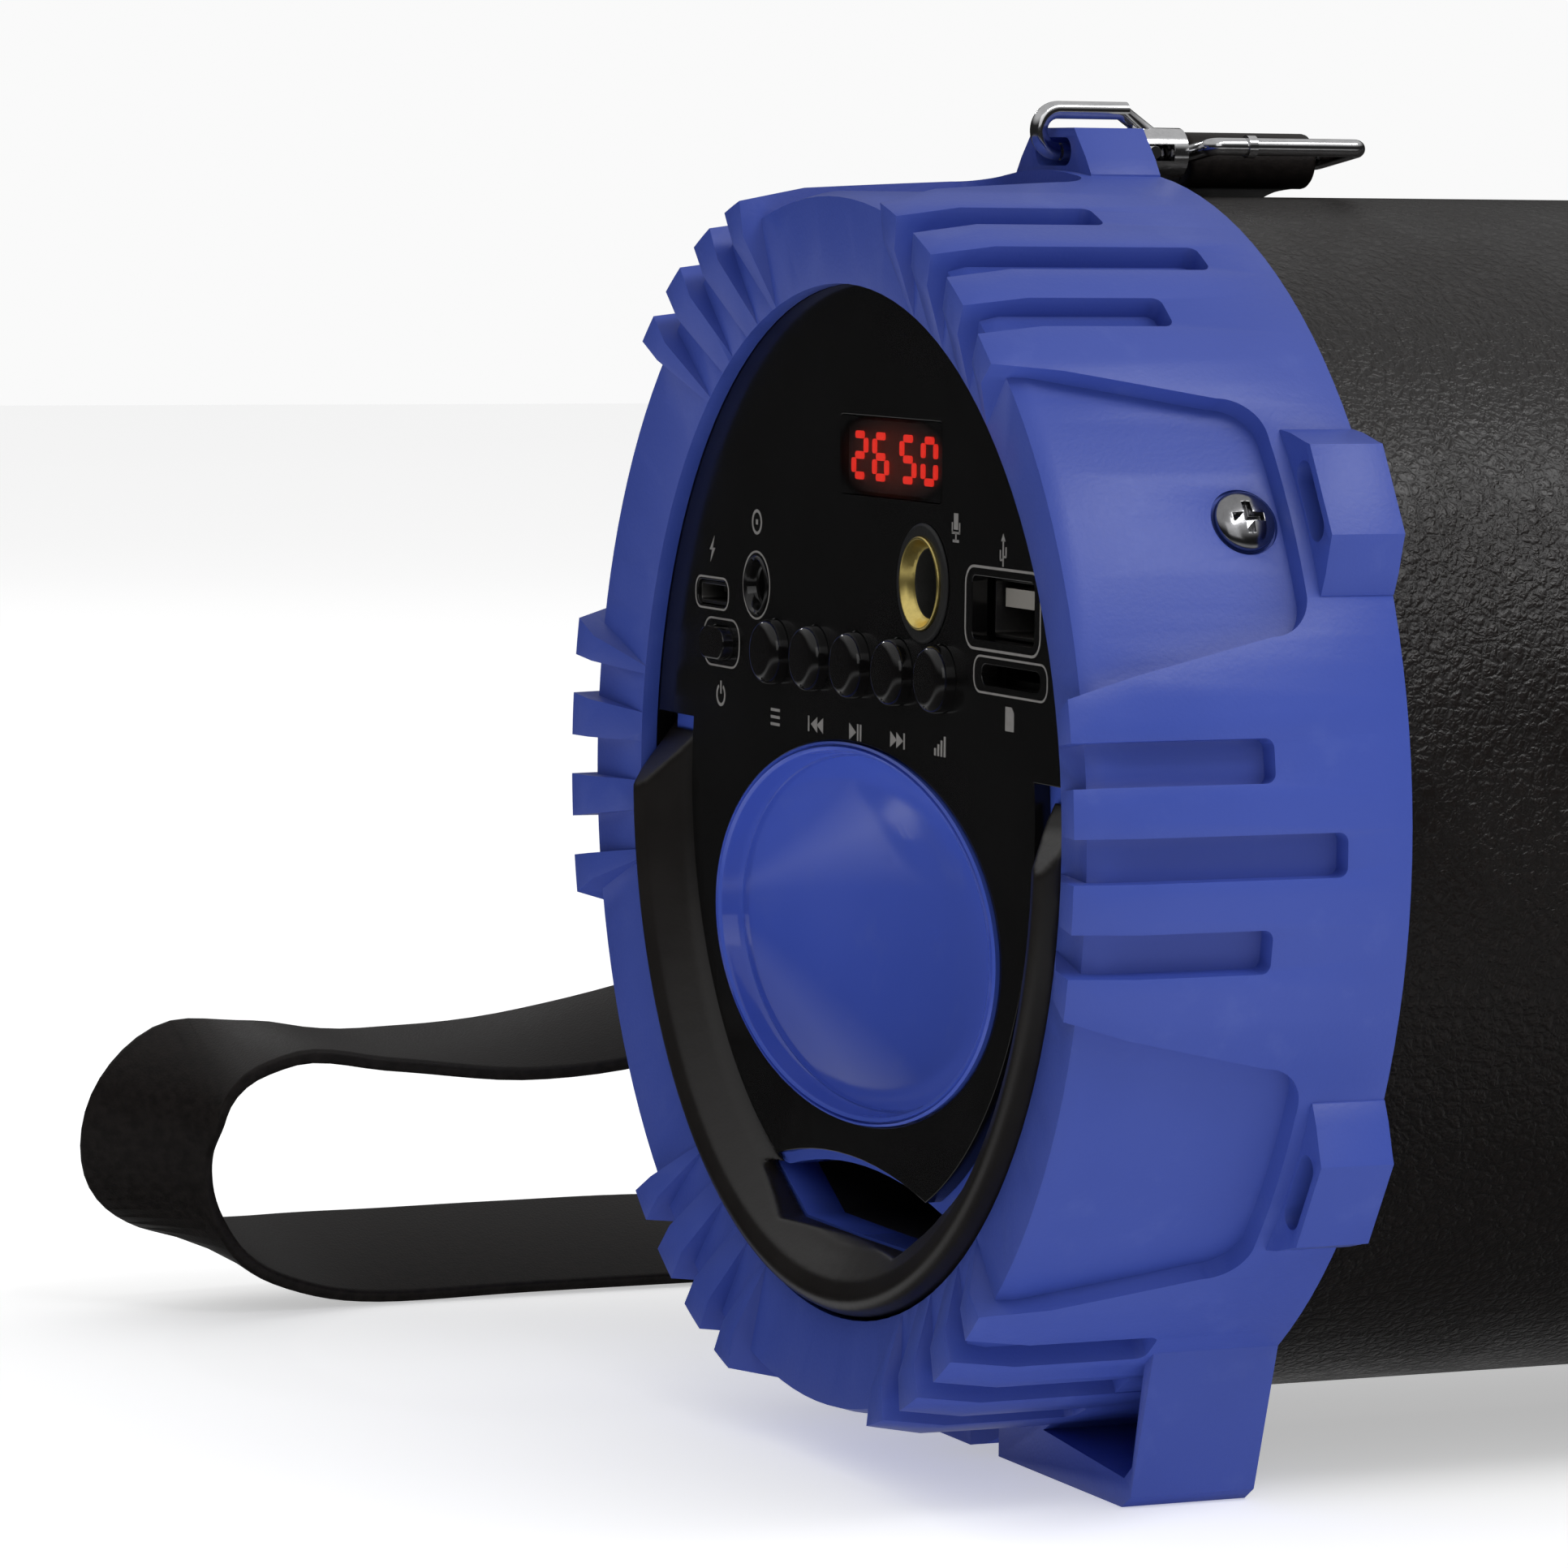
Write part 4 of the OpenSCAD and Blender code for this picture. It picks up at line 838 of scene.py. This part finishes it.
tinted = Finish("tinted_window", Roughness=0.14)
centre = (digits_low + digits_high) / 2
offset = tinted.node(
    "ShaderNodeVectorMath", [tinted.object_place, tuple(centre)], operation="SUBTRACT",
)
half_size = (digits_high - digits_low) / 2
scaled = tinted.node(
    "ShaderNodeVectorMath",
    [offset, (0, 1 / (half_size.y + 2.6 * MM), 1 / (half_size.z + 2.1 * MM))], operation="MULTIPLY",
)
reach = tinted.node("ShaderNodeVectorMath", [scaled], output="Value", operation="LENGTH")
glow = 1 - reach.ramp(0.3, 1.05)
clear = 1 - reach.ramp(0.9, 1.15)
# The glow is painted light: the window itself is given emission and a redder base colour round the digits, fading with
# distance.
tinted.fill(
    tinted.shader.inputs["Emission Color"],
    tinted.mix(glow, (0.0, 0.0, 0.0), (0.075, 0.013, 0.007)),
)
tinted.shader.inputs["Emission Strength"].default_value = 1.0
tinted.colour(tinted.mix(glow, (0.0045, 0.0042, 0.0042), (0.02, 0.004, 0.004)))
tinted.fill(tinted.shader.inputs["Alpha"], 0.96 - clear * 0.76)
paint(tinted, nodes["display_window"])
print("display ready")

# %% [markdown]
# ## The remaining pieces
# Ink, the white tongue of the USB socket, the board, the battery, the wires and the woofer's
# paper, cloth and rubber all get a finish of their own, even where only a removed cover
# would show them.

# %% Other finishes
def plain_finish(name, shade, rough, scale, depth, vary=0.25):
    """A finish for one plain material, with its own mottling and grain."""
    made = Finish(name, Roughness=rough)
    mottle = made.noise(scale, 3)
    made.colour(made.mix(mottle, tuple(c * (1 - vary) for c in shade), tuple(c * (1 + vary) for c in shade)))
    made.roughness(mottle * 0.1 + rough)
    made.bump(mottle, depth)
    return made


paint(plain_finish("grey_ink", (0.23, 0.22, 0.21), 0.5, 1800, 0.001 * MM), *marks)
paint(plain_finish("grey_tongue", (0.36, 0.34, 0.31), 0.35, 900, 0.01 * MM, 0.05), nodes["usb_tongue"])
paint(plain_finish("wound_board", (0.3, 0.19, 0.1), 0.8, 400, 0.1 * MM), nodes["tube"])
paint(plain_finish("green_board", (0.02, 0.13, 0.045), 0.35, 500, 0.01 * MM), nodes["circuit_board"], nodes["woofer_terminals"])
paint(plain_finish("cell_sleeve", (0.03, 0.2, 0.45), 0.25, 200, 0.02 * MM, 0.1), nodes["battery_cell"])
paint(plain_finish("red_lead", (0.35, 0.02, 0.02), 0.4, 800, 0.02 * MM), nodes["battery_leads"], nodes["speaker_leads"])
paint(plain_finish("pressed_paper", (0.022, 0.021, 0.022), 0.75, 1300, 0.12 * MM), nodes["woofer_cone"], nodes["woofer_dust_cap"])
paint(plain_finish("butyl_rubber", (0.012, 0.012, 0.012), 0.42, 700, 0.03 * MM), nodes["woofer_surround"])
paint(plain_finish("spider_cloth", (0.42, 0.3, 0.12), 0.85, 1600, 0.15 * MM), nodes["woofer_spider"])
print("other finishes ready")

# %% [markdown]
# ## Floor and light
# A pale floor fades into a white room. The room is bright overhead and dark along the
# horizon, as a photographer's is when dark cloth hangs round the set, so polished black stays
# black. One wide soft light hangs over the near side, where it draws the sheen along the
# tube, a large one lights the side, and small far ones leave glints in the dish.

# %% Floor
bm = bmesh.new()
bmesh.ops.create_grid(bm, x_segments=1, y_segments=1, size=3.0)
floor = piece_from("floor", bm)
floor.visible_glossy = False
pale = Finish("pale_floor", Roughness=0.9, Specular_IOR_Level=0.0)
cloud = pale.noise(2, 2)
pale.colour(pale.mix(cloud, (0.90, 0.90, 0.90), (0.92, 0.92, 0.92)))
pale.shader.inputs["Emission Color"].default_value = (1, 1, 1, 1)
pale.shader.inputs["Emission Strength"].default_value = 0.45
paint(pale, floor)
print("floor laid")

# %% Lights
def soft_light(name, place, target, size, power, shape=(1, 1)):
    """A rectangular light that faces a point."""
    data = bpy.data.lights.new(name, "AREA")
    data.shape = "RECTANGLE"
    data.size = size * shape[0]
    data.size_y = size * shape[1]
    data.energy = power
    made = bpy.data.objects.new(name, data)
    made.location = place
    made.rotation_euler = (Vector(target) - Vector(place)).to_track_quat("-Z", "Y").to_euler()
    bpy.context.scene.collection.objects.link(made)
    return made


aim = from_front(20, 0, 0)
soft_light("near_top", aim + Vector((0.42, -0.66, 0.93)), aim + Vector((0.05, 0, 0)), 0.6, 6.4, (1.8, 0.34))
soft_light("side", aim + Vector((-0.35, -1.5, 0.75)), aim, 1.0, 2.6)
soft_light("glint_high", aim + Vector((-0.1, 1.3, 0.62)), aim, 0.09, 0.5, (0.5, 1))
soft_light("glint_low", aim + Vector((0.25, 1.3, 0.4)), aim, 0.05, 0.15, (0.5, 1))

world = bpy.data.worlds.new("studio")
bpy.context.scene.world = world
world.use_nodes = True
tree = world.node_tree
tree.nodes.clear()
output = tree.nodes.new("ShaderNodeOutputWorld")
path = tree.nodes.new("ShaderNodeLightPath")
choice = tree.nodes.new("ShaderNodeMixShader")
room = tree.nodes.new("ShaderNodeBackground")
backdrop = tree.nodes.new("ShaderNodeBackground")
backdrop.inputs["Color"].default_value = (0.955, 0.955, 0.955, 1)
way = tree.nodes.new("ShaderNodeTexCoord")
split = tree.nodes.new("ShaderNodeSeparateXYZ")
height = tree.nodes.new("ShaderNodeMapRange")
height.inputs["From Min"].default_value = -1
ramp = tree.nodes.new("ShaderNodeValToRGB")
stops = [(0.0, 0.04), (0.2, 0.08), (0.3, 0.6), (0.4, 0.02), (0.64, 0.02), (0.8, 0.6), (1.0, 0.6)]
for i, (place, shade) in enumerate(stops):
    stop = ramp.color_ramp.elements[i] if i < 2 else ramp.color_ramp.elements.new(place)
    stop.position = place
    stop.color = (shade, shade, shade, 1)
tree.links.new(way.outputs["Generated"], split.inputs[0])
tree.links.new(split.outputs["Z"], height.inputs["Value"])
tree.links.new(height.outputs[0], ramp.inputs["Fac"])
tree.links.new(ramp.outputs["Color"], room.inputs["Color"])
tree.links.new(path.outputs["Is Camera Ray"], choice.inputs["Fac"])
tree.links.new(room.outputs[0], choice.inputs[1])
tree.links.new(backdrop.outputs[0], choice.inputs[2])
tree.links.new(choice.outputs[0], output.inputs["Surface"])
bpy.context.scene.view_settings.view_transform = "Standard"
print("lights set")
